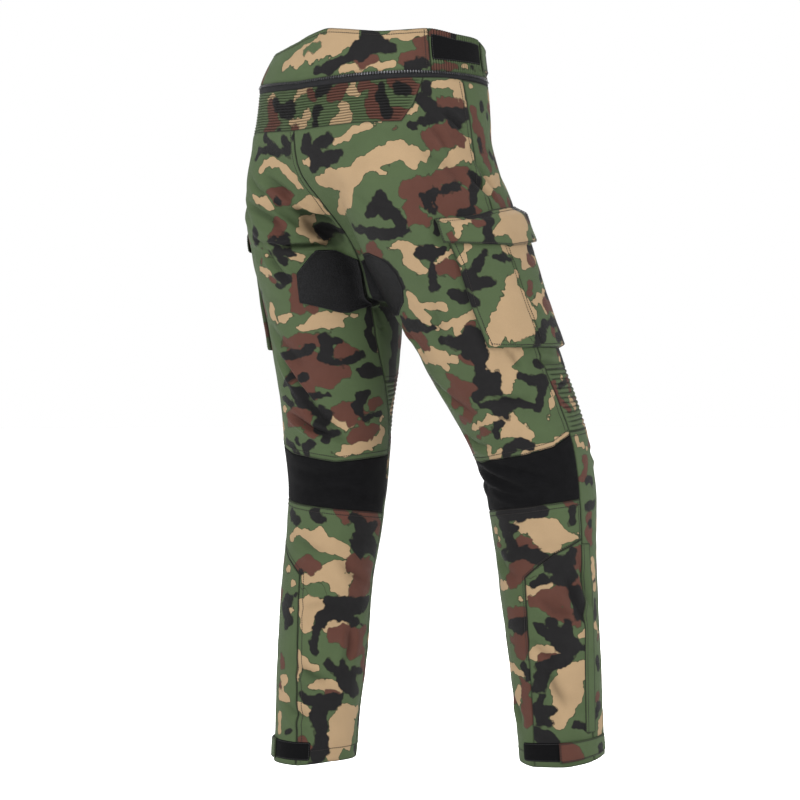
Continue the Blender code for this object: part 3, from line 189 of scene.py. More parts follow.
# Creases: side, points along it as height and direction (the leg's turn is added), depth out (minus is a trough), half width,
# and how much of a bulge runs beside it (minus: on the other side).
CREASES = [
    # seat and thigh of the wearer's left, pulled towards the crotch
    ("L", [(-0.164, 95), (-0.190, 109), (-0.212, 118)], -0.0032, 0.0065, 0.8),
    ("L", [(-0.168, 81), (-0.188, 90), (-0.202, 100)], -0.0024, 0.0060, 0.6),
    ("L", [(-0.207, 80), (-0.226, 97), (-0.240, 105)], -0.0040, 0.0050, 0.9),
    ("L", [(-0.212, 101), (-0.226, 110), (-0.240, 118)], -0.0034, 0.0050, 0.8),
    ("L", [(-0.200, 108), (-0.208, 122), (-0.218, 136)], 0.0058, 0.0085, 0.0),
    ("L", [(-0.214, 107), (-0.222, 121), (-0.231, 136), (-0.236, 142)], -0.0060, 0.0055, 0.0),
    ("L", [(-0.228, 118), (-0.243, 129), (-0.254, 142), (-0.266, 152)], -0.0105, 0.0100, 0.0),
    ("L", [(-0.263, 84), (-0.272, 103), (-0.270, 118), (-0.266, 143)], -0.0062, 0.0044, 1.0),
    ("L", [(-0.204, 74), (-0.236, 97), (-0.262, 112)], -0.0026, 0.0080, 0.7),
    ("L", [(-0.196, 60), (-0.214, 70), (-0.236, 84)], -0.0022, 0.0070, 0.7),
    ("L", [(-0.254, 80), (-0.290, 94), (-0.322, 103)], -0.0036, 0.0058, 0.8),
    ("L", [(-0.430, 64), (-0.476, 77), (-0.513, 94)], -0.0046, 0.0062, 0.8),
    ("L", [(-0.486, 74), (-0.522, 95), (-0.552, 124)], -0.0036, 0.0070, 0.8),
    ("L", [(-0.516, 56), (-0.539, 86), (-0.556, 122)], -0.0046, 0.0052, 0.9),
    ("L", [(-0.380, 60), (-0.412, 74), (-0.450, 92)], -0.0022, 0.0100, 0.6),
    ("L", [(-0.330, 165), (-0.360, 174), (-0.392, 180)], -0.0036, 0.0080, 0.5),
    # hip and seat of the wearer's right
    ("R", [(-0.166, 3), (-0.188, -6), (-0.207, -17)], -0.0026, 0.0060, 0.8),
    ("R", [(-0.150, -8), (-0.172, -15), (-0.196, -26)], -0.0022, 0.0065, 0.7),
    ("R", [(-0.086, 18), (-0.098, 8), (-0.114, -1)], -0.0028, 0.0050, 0.8),
    ("R", [(-0.104, 30), (-0.122, 22), (-0.146, 16)], -0.0020, 0.0060, 0.7),
    ("R", [(-0.140, 44), (-0.162, 22), (-0.192, 8)], -0.0016, 0.0110, 0.5),
    ("R", [(-0.196, 92), (-0.220, 80), (-0.232, 62)], -0.0014, 0.0110, 0.5),
    ("R", [(-0.252, 112), (-0.276, 120), (-0.300, 134)], -0.0030, 0.0085, 0.6),
    ("R", [(-0.350, 70), (-0.396, 76), (-0.440, 86)], -0.0018, 0.0110, 0.6),
    ("R", [(-0.388, 137), (-0.406, 120), (-0.428, 112)], -0.0034, 0.0075, 0.7),
    ("R", [(-0.422, 30), (-0.436, 27), (-0.450, 25)], -0.0024, 0.0055, 0.8),
    ("R", [(-0.440, 14), (-0.439, -6), (-0.443, -30)], -0.0020, 0.0050, 0.6),
    ("R", [(-0.490, 68), (-0.495, 50), (-0.496, 26)], -0.0024, 0.0060, 0.7),
    ("R", [(-0.470, 124), (-0.500, 104), (-0.520, 84)], -0.0024, 0.0090, 0.6),
    ("R", [(-0.540, 130), (-0.560, 108), (-0.566, 84)], -0.0026, 0.0070, 0.6),
    # back-knee stretch panels
    ("R", [(-0.596, 124), (-0.614, 88), (-0.632, 52)], -0.0030, 0.0075, 0.9),
    ("R", [(-0.583, 108), (-0.598, 64), (-0.616, 22)], -0.0026, 0.0070, 0.8),
    ("R", [(-0.624, 108), (-0.638, 72), (-0.646, 40)], -0.0022, 0.0060, 0.8),
    ("R", [(-0.604, 160), (-0.612, 140), (-0.626, 118)], -0.0030, 0.0070, 0.8),
    ("L", [(-0.600, 58), (-0.612, 104), (-0.606, 146)], -0.0022, 0.0080, 0.8),
    ("L", [(-0.637, 74), (-0.629, 112), (-0.641, 160)], -0.0020, 0.0070, 0.8),
    # lower legs
    ("R", [(-0.752, 24), (-0.789, 16), (-0.822, 1)], -0.0034, 0.0080, 0.8),
    ("R", [(-0.734, 5), (-0.775, 0), (-0.803, -8)], -0.0026, 0.0065, 0.7),
    ("R", [(-0.786, 62), (-0.805, 41), (-0.816, 14)], -0.0024, 0.0085, 0.7),
    ("R", [(-0.888, 60), (-0.920, 50), (-0.948, 36)], -0.0034, 0.0100, 0.8),
    ("R", [(-0.846, 78), (-0.868, 60), (-0.884, 40)], -0.0022, 0.0090, 0.6),
    ("R", [(-0.936, 132), (-0.954, 118), (-0.976, 108)], -0.0026, 0.0080, 0.7),
    ("R", [(-0.720, 120), (-0.744, 104), (-0.760, 84)], -0.0020, 0.0090, 0.6),
    ("L", [(-0.834, 150), (-0.860, 152), (-0.886, 147)], -0.0028, 0.0080, 0.8),
    ("L", [(-0.890, 80), (-0.905, 102), (-0.915, 124)], -0.0030, 0.0070, 0.8),
    ("L", [(-0.808, 76), (-0.799, 104), (-0.802, 132)], -0.0018, 0.0090, 0.6),
    ("L", [(-0.730, 122), (-0.755, 144), (-0.768, 174)], -0.0026, 0.0085, 0.7),
    ("L", [(-0.944, 60), (-0.962, 84), (-0.966, 112)], -0.0022, 0.0080, 0.7),
    ("L", [(-0.700, 60), (-0.716, 84), (-0.722, 110)], -0.0018, 0.0085, 0.6),
    # front: pulled from the crotch to the hips, above and below the knees, and at the ankles
    ("R", [(-0.262, -158), (-0.240, -132), (-0.212, -104)], -0.0040, 0.0070, 0.8),
    ("R", [(-0.282, -156), (-0.272, -130), (-0.252, -98)], -0.0036, 0.0065, 0.8),
    ("R", [(-0.300, -150), (-0.306, -124), (-0.300, -94)], -0.0030, 0.0070, 0.7),
    ("R", [(-0.330, -160), (-0.352, -134), (-0.366, -108)], -0.0030, 0.0080, 0.7),
    ("R", [(-0.112, -70), (-0.146, -58), (-0.186, -50)], -0.0018, 0.0090, 0.6),
    ("R", [(-0.410, -60), (-0.424, -90), (-0.420, -124)], -0.0024, 0.0080, 0.7),
    ("R", [(-0.572, -40), (-0.586, -78), (-0.578, -116)], -0.0034, 0.0065, 0.8),
    ("R", [(-0.612, -130), (-0.630, -96), (-0.626, -60)], -0.0024, 0.0080, 0.7),
    ("R", [(-0.700, -60), (-0.730, -84), (-0.764, -96)], -0.0020, 0.0090, 0.6),
    ("R", [(-0.846, -130), (-0.868, -104), (-0.874, -74)], -0.0024, 0.0090, 0.7),
    ("R", [(-0.950, -50), (-0.968, -84), (-0.966, -124)], -0.0028, 0.0075, 0.8),
    ("L", [(-0.254, -158), (-0.236, -130), (-0.204, -100)], -0.0038, 0.0068, 0.8),
    ("L", [(-0.280, -156), (-0.264, -128), (-0.246, -96)], -0.0034, 0.0070, 0.8),
    ("L", [(-0.304, -152), (-0.300, -122), (-0.310, -90)], -0.0028, 0.0072, 0.7),
    ("L", [(-0.336, -156), (-0.350, -132), (-0.372, -112)], -0.0028, 0.0080, 0.7),
    ("L", [(-0.120, -64), (-0.150, -54), (-0.180, -52)], -0.0020, 0.0085, 0.6),
    ("L", [(-0.404, -64), (-0.418, -92), (-0.424, -120)], -0.0022, 0.0080, 0.7),
    ("L", [(-0.574, -48), (-0.582, -84), (-0.590, -118)], -0.0032, 0.0065, 0.8),
    ("L", [(-0.620, -128), (-0.632, -92), (-0.620, -64)], -0.0022, 0.0080, 0.7),
    ("L", [(-0.716, -58), (-0.734, -86), (-0.750, -104)], -0.0020, 0.0085, 0.6),
    ("L", [(-0.834, -126), (-0.860, -100), (-0.862, -72)], -0.0024, 0.0085, 0.7),
    ("L", [(-0.952, -54), (-0.962, -88), (-0.972, -120)], -0.0026, 0.0075, 0.8),
]


# Layout of the woodland print on the cut pieces, given as broad strokes: the piece and its side, then the colour and
# the stroke's height, direction (without the leg's turn) and half width in millimetres at each of its bends, with the
# side if it is the other one.
PRINT = {
    ("waistband_back", "R"): [
        ("T", [(-0.008, 106, 7.9, "L"), (0.002, 118, 13.6, "L"), (0.01, 110, 13.6), (0.018, 95, 16.6), (0.02, 84, 12.1)]),
        ("T", [(0.018, 62, 4.2), (0.022, 52, 5.4), (0.024, 40, 6.0), (0.028, 28, 4.8)]),
        ("T", [(-0.024, 88, 6.0), (-0.022, 76, 4.8), (-0.016, 68, 6.0), (-0.024, 62, 3.6), (-0.02, 54, 2.4)]),
        ("G", [(0.01, 118, 7.9), (0.018, 110, 7.9)]),
        ("B", [(-0.014, 76, 8.5), (-0.01, 68, 5.4)]),
        ("B", [(0.01, 30, 8.5), (-0.002, 29, 9.1), (-0.01, 40, 7.2), (-0.02, 50, 3.0)]),
        ("B", [(-0.01, 76, 6.0, "L"), (-0.022, 76, 4.5, "L")]),
        ("K", [(0.028, 70, 7.2), (0.012, 71, 12.7), (0.002, 77, 10.9), (-0.012, 88, 4.8), (-0.022, 100, 7.2), (-0.026, 108, 4.2)]),
        ("K", [(0.012, 70, 11.5), (0.008, 60, 7.9), (0.0, 52, 4.8)]),
        ("K", [(-0.016, 30, 6.0), (-0.022, 38, 7.9), (-0.026, 42, 3.6)]),
    ],
    ("back_stretch", "R"): [
        ("T", [(-0.046, 82, 4.2), (-0.056, 82, 6.6), (-0.06, 78, 4.2)]),
        ("T", [(-0.048, 111, 3.6), (-0.05, 118, 5.4), (-0.064, 118, 3.6, "L")]),
        ("T", [(-0.078, 88, 6.0), (-0.09, 86, 7.6), (-0.098, 93, 8.5), (-0.1, 84, 3.6)]),
        ("T", [(-0.088, 113, 6.6), (-0.1, 115, 6.6), (-0.094, 118, 4.8, "L")]),
        ("T", [(-0.054, 97, 4.2, "L"), (-0.056, 92, 3.0, "L")]),
        ("B", [(-0.048, 88, 6.0), (-0.058, 92, 8.5), (-0.064, 96, 6.6)]),
        ("B", [(-0.048, 74, 6.6), (-0.052, 68, 6.0), (-0.07, 68, 8.5), (-0.088, 67, 7.9), (-0.094, 55, 9.7), (-0.094, 44, 6.6)]),
        ("B", [(-0.052, 39, 7.9), (-0.048, 44, 10.3), (-0.044, 54, 6.6)]),
        ("B", [(-0.058, 110, 6.6)]),
        ("B", [(-0.068, 96, 8.5, "L"), (-0.094, 105, 6.6, "L"), (-0.102, 94, 4.2, "L")]),
        ("B", [(-0.108, 119, 4.8)]),
        ("K", [(-0.046, 101, 8.5), (-0.056, 105, 5.4)]),
        ("K", [(-0.074, 116, 9.7, "L"), (-0.08, 110, 7.2, "L"), (-0.058, 100, 4.2, "L")]),
        ("K", [(-0.052, 62, 3.9), (-0.074, 62, 5.7), (-0.092, 59, 5.1)]),
        ("K", [(-0.054, 50, 7.2), (-0.058, 45, 5.7)]),
        ("K", [(-0.078, 106, 5.4), (-0.102, 106, 3.6)]),
        ("K", [(-0.108, 108, 4.2, "L")]),
    ],
    ("back_R", "R"): [
        ("T", [(-0.126, 94, 2.4), (-0.122, 87, 4.2), (-0.114, 82, 5.4), (-0.11, 76, 4.2), (-0.102, 64, 2.4)]),
        ("T", [(-0.178, 116, 6.6), (-0.18, 108, 13.9), (-0.182, 94, 16.9), (-0.202, 98, 15.1), (-0.216, 116, 9.7), (-0.222, 128, 4.2)]),
        ("T", [(-0.182, 94, 15.1), (-0.166, 81, 9.1), (-0.156, 70, 12.7), (-0.144, 58, 12.7), (-0.14, 51, 10.9), (-0.156, 47, 9.7), (-0.15, 40, 7.9), (-0.144, 34, 3.6)]),
        ("T", [(-0.17, 69, 3.6), (-0.176, 66, 2.1)]),
        ("T", [(-0.154, 117, 4.8), (-0.156, 112, 5.4)]),
        ("T", [(-0.048, 22, 5.4), (-0.044, 12, 5.4), (-0.046, 2, 8.5), (-0.064, 0, 10.0), (-0.076, -3, 6.6)]),
        ("T", [(-0.126, 0, 7.9), (-0.144, 8, 10.9), (-0.156, 20, 6.6), (-0.164, 26, 2.4)]),
        ("T", [(-0.144, 8, 9.1), (-0.146, -2, 7.9)]),
        ("T", [(-0.088, 45, 2.4), (-0.082, 40, 3.6)]),
        ("B", [(-0.084, 25, 3.6), (-0.078, 16, 10.0), (-0.078, 2, 9.7)]),
        ("B", [(-0.126, 28, 13.3), (-0.116, 17, 13.3), (-0.126, 6, 8.5)]),
        ("B", [(-0.198, 55, 10.9), (-0.19, 44, 8.5), (-0.18, 26, 8.5), (-0.172, 9, 9.7), (-0.184, 3, 8.5)]),
        ("B", [(-0.204, 52, 9.1), (-0.21, 44, 12.7), (-0.212, 30, 18.7), (-0.212, 16, 16.3)]),
        ("B", [(-0.222, 56, 7.9), (-0.236, 55, 10.3), (-0.244, 49, 6.0)]),
        ("B", [(-0.214, 16, 12.1), (-0.226, 9, 7.9)]),
        ("B", [(-0.108, 54, 3.6)]),
        ("K", [(-0.12, 112, 5.4), (-0.132, 114, 6.0), (-0.142, 109, 9.7), (-0.154, 104, 6.6), (-0.148, 99, 8.2), (-0.144, 92, 3.6)]),
        ("K", [(-0.128, 106, 6.6), (-0.122, 99, 7.6)]),
        ("K", [(-0.154, 108, 6.0), (-0.166, 116, 2.4)]),
        ("K", [(-0.052, 30, 6.6), (-0.058, 28, 5.4)]),
        ("K", [(-0.07, 34, 7.2), (-0.078, 30, 7.9), (-0.088, 27, 4.8)]),
        ("K", [(-0.108, 44, 3.6), (-0.102, 38, 3.6), (-0.092, 26, 7.9), (-0.086, 14, 6.0), (-0.094, 8, 9.7), (-0.086, -4, 8.2)]),
        ("K", [(-0.094, 8, 7.6), (-0.106, 4, 5.4)]),
        ("K", [(-0.204, 71, 6.0), (-0.216, 73, 7.9), (-0.224, 80, 7.9), (-0.23, 84, 4.5)]),
        ("K", [(-0.218, 74, 7.2), (-0.228, 71, 9.7), (-0.23, 65, 5.4), (-0.244, 66, 6.0), (-0.254, 66, 4.2)]),
        ("K", [(-0.248, 108, 4.2), (-0.252, 89, 4.8), (-0.256, 80, 5.4), (-0.256, 68, 5.4), (-0.256, 63, 2.1)]),
        ("K", [(-0.208, 46, 4.2), (-0.204, 38, 4.8), (-0.198, 28, 4.8), (-0.192, 18, 3.6), (-0.184, 11, 2.4)]),
        ("K", [(-0.216, 45, 4.2), (-0.23, 42, 2.7)]),
        ("K", [(-0.172, 0, 4.8), (-0.186, -2, 7.9), (-0.21, 8, 4.8)]),
        ("K", [(-0.232, 22, 6.0), (-0.226, 12, 4.8)]),
        ("T", [(-0.278, 80, 3.7), (-0.276, 72, 5.3), (-0.282, 66, 7.4), (-0.28, 58, 3.7), (-0.28, 50, 2.1)]),
        ("T", [(-0.286, 69, 7.9), (-0.298, 72, 10.0), (-0.306, 68, 8.7), (-0.31, 64, 5.3)]),
        ("T", [(-0.314, 68, 3.4)]),
        ("T", [(-0.286, 48, 5.3), (-0.29, 44, 5.8), (-0.286, 40, 3.2)]),
        ("T", [(-0.292, 46, 4.8), (-0.3, 54, 3.4)]),
        ("T", [(-0.35, 86, 9.2), (-0.364, 88, 11.1), (-0.374, 84, 10.6), (-0.384, 83, 4.2)]),
        ("T", [(-0.362, 80, 4.8), (-0.362, 75, 4.2), (-0.362, 64, 4.8), (-0.366, 62, 2.4)]),
        ("T", [(-0.392, 78, 1.9), (-0.388, 69, 3.7), (-0.384, 62, 4.5), (-0.388, 58, 6.1), (-0.378, 50, 5.3), (-0.374, 44, 3.7)]),
        ("T", [(-0.39, 58, 5.3), (-0.398, 61, 4.2)]),
        ("T", [(-0.42, 48, 4.8), (-0.432, 46, 11.1), (-0.436, 35, 13.7), (-0.428, 24, 9.5)]),
        ("T", [(-0.446, 45, 10.6), (-0.458, 44, 11.1), (-0.472, 44, 10.0), (-0.482, 46, 5.3)]),
        ("T", [(-0.458, 41, 10.6), (-0.458, 34, 5.8)]),
        ("T", [(-0.448, 52, 2.4)]),
        ("T", [(-0.426, 120, 3.7), (-0.434, 110, 9.0), (-0.43, 92, 10.0), (-0.436, 81, 5.3), (-0.432, 71, 3.2)]),
        ("T", [(-0.438, 92, 7.4), (-0.448, 88, 4.2)]),
        ("T", [(-0.535, 102, 1.9), (-0.529, 82, 4.0), (-0.521, 70, 4.5), (-0.521, 61, 3.2)]),
        ("T", [(-0.521, 52, 7.4), (-0.537, 60, 9.0), (-0.539, 50, 11.1), (-0.549, 44, 6.3)]),
        ("T", [(-0.537, 60, 7.9), (-0.543, 66, 3.7)]),
        ("T", [(-0.563, 86, 2.1), (-0.573, 90, 4.0), (-0.583, 86, 5.3), (-0.569, 76, 4.5)]),
        ("T", [(-0.571, 51, 4.2), (-0.563, 39, 3.4), (-0.559, 24, 3.4), (-0.545, 6, 2.9), (-0.541, -2, 1.9)]),
        ("T", [(-0.482, 4, 2.6), (-0.5, 9, 3.4), (-0.515, 16, 2.9)]),
        ("B", [(-0.302, 47, 5.8), (-0.31, 52, 6.9), (-0.306, 44, 8.5), (-0.312, 42, 6.9)]),
        ("B", [(-0.386, 106, 4.0), (-0.398, 108, 7.4), (-0.406, 101, 11.6), (-0.418, 100, 7.9)]),
        ("B", [(-0.386, 46, 3.2), (-0.392, 50, 5.3), (-0.4, 56, 2.6)]),
        ("B", [(-0.436, 65, 6.9), (-0.44, 60, 4.0)]),
        ("B", [(-0.464, 89, 6.9), (-0.478, 86, 13.2), (-0.478, 74, 9.0)]),
        ("B", [(-0.484, 94, 7.9), (-0.498, 106, 9.0), (-0.5, 89, 7.9)]),
        ("B", [(-0.525, 105, 6.9), (-0.515, 94, 9.0), (-0.513, 82, 2.9)]),
        ("B", [(-0.549, 92, 2.4), (-0.541, 85, 5.3), (-0.541, 79, 3.2)]),
        ("K", [(-0.286, 59, 6.9), (-0.286, 53, 9.0), (-0.3, 55, 3.2), (-0.31, 58, 3.2), (-0.324, 61, 4.5), (-0.334, 63, 5.6)]),
        ("K", [(-0.286, 52, 5.8), (-0.282, 44, 3.2)]),
        ("K", [(-0.248, 42, 5.3), (-0.258, 44, 4.2)]),
        ("K", [(-0.346, 51, 6.3), (-0.35, 46, 7.1)]),
        ("K", [(-0.41, 79, 4.8), (-0.412, 70, 6.9), (-0.412, 60, 11.1), (-0.4, 50, 10.6), (-0.418, 53, 12.7), (-0.428, 62, 5.8)]),
        ("K", [(-0.418, 53, 11.9), (-0.432, 54, 9.5), (-0.444, 57, 5.3), (-0.454, 60, 6.3), (-0.466, 60, 11.1), (-0.466, 52, 9.5), (-0.48, 54, 6.9)]),
        ("K", [(-0.49, 76, 4.8), (-0.482, 63, 7.4), (-0.482, 52, 5.3)]),
        ("K", [(-0.466, 60, 2.6), (-0.454, 52, 3.2)]),
        ("K", [(-0.39, 112, 4.8), (-0.39, 94, 4.8), (-0.392, 82, 2.6)]),
        ("K", [(-0.505, 74, 2.1), (-0.502, 64, 5.3), (-0.505, 60, 9.5), (-0.503, 44, 5.3), (-0.503, 34, 3.4), (-0.505, 28, 1.9)]),
        ("K", [(-0.507, 58, 6.3), (-0.519, 56, 2.4)]),
        ("K", [(-0.462, 28, 3.2), (-0.466, 18, 4.8), (-0.462, 8, 6.3), (-0.476, 12, 6.1), (-0.49, 19, 5.3), (-0.502, 22, 4.2), (-0.509, 27, 2.1)]),
        ("K", [(-0.529, 62, 2.1), (-0.535, 70, 4.2), (-0.545, 72, 3.2)]),
        ("K", [(-0.577, 72, 3.2), (-0.567, 66, 5.8), (-0.559, 60, 5.3), (-0.559, 52, 6.1), (-0.561, 43, 4.5)]),
        ("K", [(-0.442, 8, 4.8), (-0.446, 3, 4.0)]),
        ("B", [(-0.276, 148, 3.9), (-0.288, 104, 6.3), (-0.272, 90, 5.7)]),
        ("B", [(-0.276, 92, 5.0), (-0.286, 92, 5.9), (-0.3, 94, 5.9)]),
        ("B", [(-0.374, 105, 3.4), (-0.398, 134, 5.4), (-0.404, 112, 5.4)]),
        ("K", [(-0.26, 90, 5.0), (-0.26, 80, 5.4), (-0.26, 73, 3.9)]),
        ("K", [(-0.296, 92, 5.4), (-0.31, 90, 7.0), (-0.322, 90, 7.0), (-0.332, 89, 3.2)]),
        ("K", [(-0.382, 112, 7.5), (-0.388, 102, 7.7), (-0.388, 94, 5.4)]),
    ],
    ("front_R", "R"): [
        ("B", [(-0.082, -13, 5.4), (-0.1, -14, 8.5), (-0.11, -19, 8.5), (-0.14, -21, 8.5), (-0.158, -24, 6.0)]),
        ("B", [(-0.202, -21, 6.0), (-0.212, -26, 7.9)]),
        ("K", [(-0.072, -24, 4.8)]),
        ("K", [(-0.122, -17, 4.5), (-0.14, -16, 2.7)]),
        ("K", [(-0.084, -33, 3.6)]),
        ("T", [(-0.2, -8, 4.2), (-0.184, -19, 9.7), (-0.176, -36, 6.6)]),
        ("T", [(-0.044, -14, 3.6)]),
    ],
    ("cargo_flap_R", "R"): [
        ("T", [(-0.24, 38, 3.4), (-0.24, 30, 4.2), (-0.242, 22, 4.0), (-0.244, 18, 1.9)]),
        ("T", [(-0.246, 32, 5.8), (-0.258, 31, 3.7)]),
        ("T", [(-0.228, -15, 5.3), (-0.226, -32, 6.3), (-0.242, -36, 11.6), (-0.246, -14, 17.4), (-0.262, -17, 13.2), (-0.262, -28, 9.5)]),
        ("T", [(-0.25, -9, 13.2), (-0.262, 4, 3.7)]),
        ("K", [(-0.232, 16, 6.3), (-0.234, 6, 6.3), (-0.244, 6, 5.3), (-0.26, 10, 5.3), (-0.27, 10, 5.8), (-0.274, 7, 2.6)]),
        ("K", [(-0.232, 2, 3.7), (-0.228, -4, 2.6)]),
        ("B", [(-0.246, 16, 4.8), (-0.244, 10, 3.4)]),
        ("B", [(-0.26, 36, 3.2), (-0.268, 36, 2.4)]),
    ],
    ("cargo_pocket_R", "R"): [
        ("T", [(-0.28, -2, 3.4), (-0.284, -12, 7.4), (-0.288, -30, 13.2), (-0.294, -38, 9.0)]),
        ("T", [(-0.29, -28, 11.9), (-0.304, -18, 6.3)]),
        ("T", [(-0.278, 28, 2.9), (-0.288, 32, 3.4), (-0.3, 36, 3.4), (-0.308, 38, 2.6)]),
        ("T", [(-0.316, -3, 5.3), (-0.334, 7, 9.0), (-0.348, 8, 13.7), (-0.37, 20, 14.5), (-0.392, 29, 13.7), (-0.41, 38, 7.9)]),
        ("T", [(-0.348, 4, 12.7), (-0.372, 6, 18.5), (-0.394, 16, 16.4), (-0.392, 3, 9.0)]),
        ("T", [(-0.354, 6, 13.2), (-0.374, -4, 6.9)]),
        ("T", [(-0.358, -12, 4.2), (-0.35, -24, 5.8), (-0.336, -50, 4.8)]),
        ("T", [(-0.352, -23, 6.3), (-0.372, -22, 3.2)]),
        ("G", [(-0.416, 30, 3.2), (-0.412, 16, 4.0), (-0.41, 5, 3.2)]),
        ("K", [(-0.286, 16, 3.2), (-0.296, 22, 5.0), (-0.308, 28, 6.6), (-0.32, 36, 7.4), (-0.33, 35, 7.1), (-0.328, 28, 6.6), (-0.33, 20, 3.7)]),
        ("K", [(-0.292, 10, 2.4), (-0.294, 2, 3.2), (-0.296, -6, 2.4)]),
        ("K", [(-0.346, 42, 4.8), (-0.354, 38, 4.8)]),
        ("K", [(-0.388, -12, 5.3), (-0.384, -38, 5.8), (-0.396, -44, 5.8), (-0.408, -28, 6.3)]),
        ("K", [(-0.398, -8, 6.3), (-0.412, 2, 6.3)]),
        ("B", [(-0.348, -48, 6.3), (-0.362, -28, 8.5), (-0.366, -48, 5.8), (-0.376, -47, 2.9)]),
        ("B", [(-0.39, -27, 4.5), (-0.4, -22, 6.6)]),
        ("B", [(-0.326, -20, 2.9), (-0.334, -15, 4.2), (-0.342, -10, 3.2)]),
    ],
    ("knee_accordion_R", "R"): [
        ("T", [(-0.49, -18, 3.2), (-0.502, -24, 3.4), (-0.517, -20, 2.9)]),
        ("T", [(-0.464, -18, 2.1)]),
        ("B", [(-0.472, -1, 2.9), (-0.49, 1, 3.2), (-0.5, -2, 4.8), (-0.511, -9, 2.9)]),
        ("K", [(-0.476, -9, 2.6), (-0.466, -26, 2.1)]),
        ("K", [(-0.515, -10, 2.1)]),
    ],
    ("shin_front_R", "R"): [
        ("T", [(-0.553, -7, 2.4), (-0.561, -8, 3.2)]),
        ("T", [(-0.567, -24, 2.9)]),
        ("B", [(-0.579, -16, 5.3), (-0.591, -18, 3.7)]),
        ("T", [(-0.561, -16, 4.2)]),
        ("T", [(-0.623, -26, 2.9)]),
        ("T", [(-0.731, -20, 3.8), (-0.747, -22, 5.8), (-0.773, -24, 5.1)]),
        ("T", [(-0.829, -20, 4.2), (-0.839, -27, 2.9)]),
        ("T", [(-0.959, -30, 2.9), (-0.975, -24, 5.8), (-0.993, -17, 7.1)]),
        ("B", [(-0.609, -6, 3.8), (-0.593, -17, 5.1), (-0.581, -15, 7.1)]),
        ("B", [(-0.667, -15, 5.5), (-0.693, -14, 6.4), (-0.705, -18, 5.1)]),
        ("B", [(-0.845, -26, 3.5)]),
        ("B", [(-0.935, -16, 5.1)]),
        ("K", [(-0.615, -14, 5.1), (-0.613, -26, 3.8)]),
        ("K", [(-0.651, -14, 5.8), (-0.649, -28, 3.8)]),
        ("K", [(-0.677, -15, 3.8)]),
        ("K", [(-0.793, -21, 4.2), (-0.815, -18, 4.2)]),
        ("K", [(-0.763, -21, 2.9)]),
        ("K", [(-0.879, -17, 4.2), (-0.891, -20, 3.2)]),
        ("K", [(-0.951, -18, 5.8), (-0.963, -8, 3.8)]),
    ],
    ("calf_back_R", "R"): [
        ("T", [(-0.681, 81, 3.2), (-0.679, 72, 7.1), (-0.681, 59, 10.9), (-0.681, 44, 11.5), (-0.683, 32, 8.3)]),
        ("T", [(-0.687, 52, 11.2), (-0.703, 46, 11.5), (-0.713, 34, 6.4)]),
        ("T", [(-0.693, 38, 9.6), (-0.695, 20, 8.3), (-0.697, 8, 3.5)]),
        ("T", [(-0.689, 114, 5.1), (-0.701, 108, 2.9)]),
        ("T", [(-0.771, 116, 7.1), (-0.765, 101, 4.5)]),
        ("T", [(-0.787, 84, 3.2)]),
        ("T", [(-0.889, 136, 7.1), (-0.895, 107, 5.5), (-0.901, 92, 2.9)]),
        ("T", [(-0.921, 104, 5.8), (-0.941, 112, 5.1), (-0.945, 101, 2.6)]),
        ("B", [(-0.711, 84, 6.4), (-0.707, 72, 10.9), (-0.713, 62, 8.3)]),
        ("B", [(-0.759, 90, 10.3), (-0.749, 86, 12.2), (-0.739, 72, 10.9), (-0.733, 65, 6.4)]),
        ("B", [(-0.707, 112, 4.5)]),
        ("B", [(-0.647, 15, 5.8), (-0.647, 6, 3.5)]),
        ("B", [(-0.815, 102, 8.3), (-0.811, 88, 11.5)]),
        ("B", [(-0.851, 104, 5.1), (-0.845, 86, 10.9), (-0.865, 92, 11.5), (-0.859, 82, 5.1)]),
        ("B", [(-0.913, 92, 6.4), (-0.931, 92, 6.1), (-0.953, 91, 10.9), (-0.973, 96, 6.4)]),
        ("K", [(-0.663, 100, 8.7), (-0.659, 81, 10.9), (-0.655, 62, 10.3), (-0.657, 48, 7.1)]),
        ("K", [(-0.677, 97, 8.3), (-0.691, 94, 7.7), (-0.707, 87, 8.3), (-0.719, 84, 8.3), (-0.719, 68, 8.0), (-0.725, 56, 8.7), (-0.733, 47, 7.7)]),
        ("K", [(-0.683, 94, 6.4), (-0.685, 84, 6.1)]),
        ("K", [(-0.725, 106, 4.8), (-0.721, 86, 5.8)]),
        ("K", [(-0.653, 10, 3.8), (-0.663, 12, 3.2), (-0.673, 12, 4.2)]),
        ("K", [(-0.827, 104, 6.4), (-0.827, 92, 8.7), (-0.823, 79, 6.4)]),
        ("K", [(-0.887, 92, 3.8), (-0.899, 82, 6.4)]),
    ],
    ("calf_side_R", "R"): [
        ("T", [(-0.783, 72, 3.8), (-0.775, 70, 7.1), (-0.771, 59, 7.1), (-0.765, 44, 3.5)]),
        ("T", [(-0.867, 72, 8.0), (-0.863, 56, 7.4), (-0.871, 44, 5.8)]),
        ("T", [(-0.891, 5, 6.4), (-0.895, 18, 14.1), (-0.899, 34, 12.2), (-0.917, 39, 17.3), (-0.925, 30, 16.7), (-0.947, 40, 15.4), (-0.963, 49, 9.6), (-0.971, 52, 6.4)]),
        ("T", [(-0.915, 54, 5.5)]),
        ("T", [(-0.841, 12, 3.8), (-0.837, -3, 5.1)]),
        ("G", [(-0.751, 66, 3.8), (-0.745, 52, 8.0)]),
        ("B", [(-0.717, 7, 8.3), (-0.729, 14, 10.9), (-0.743, 2, 5.8)]),
        ("B", [(-0.759, 12, 7.1), (-0.771, 16, 11.5), (-0.783, 34, 13.5), (-0.787, 52, 12.8), (-0.789, 66, 6.4)]),
        ("B", [(-0.803, 40, 10.3), (-0.809, 25, 8.7), (-0.819, 14, 4.8)]),
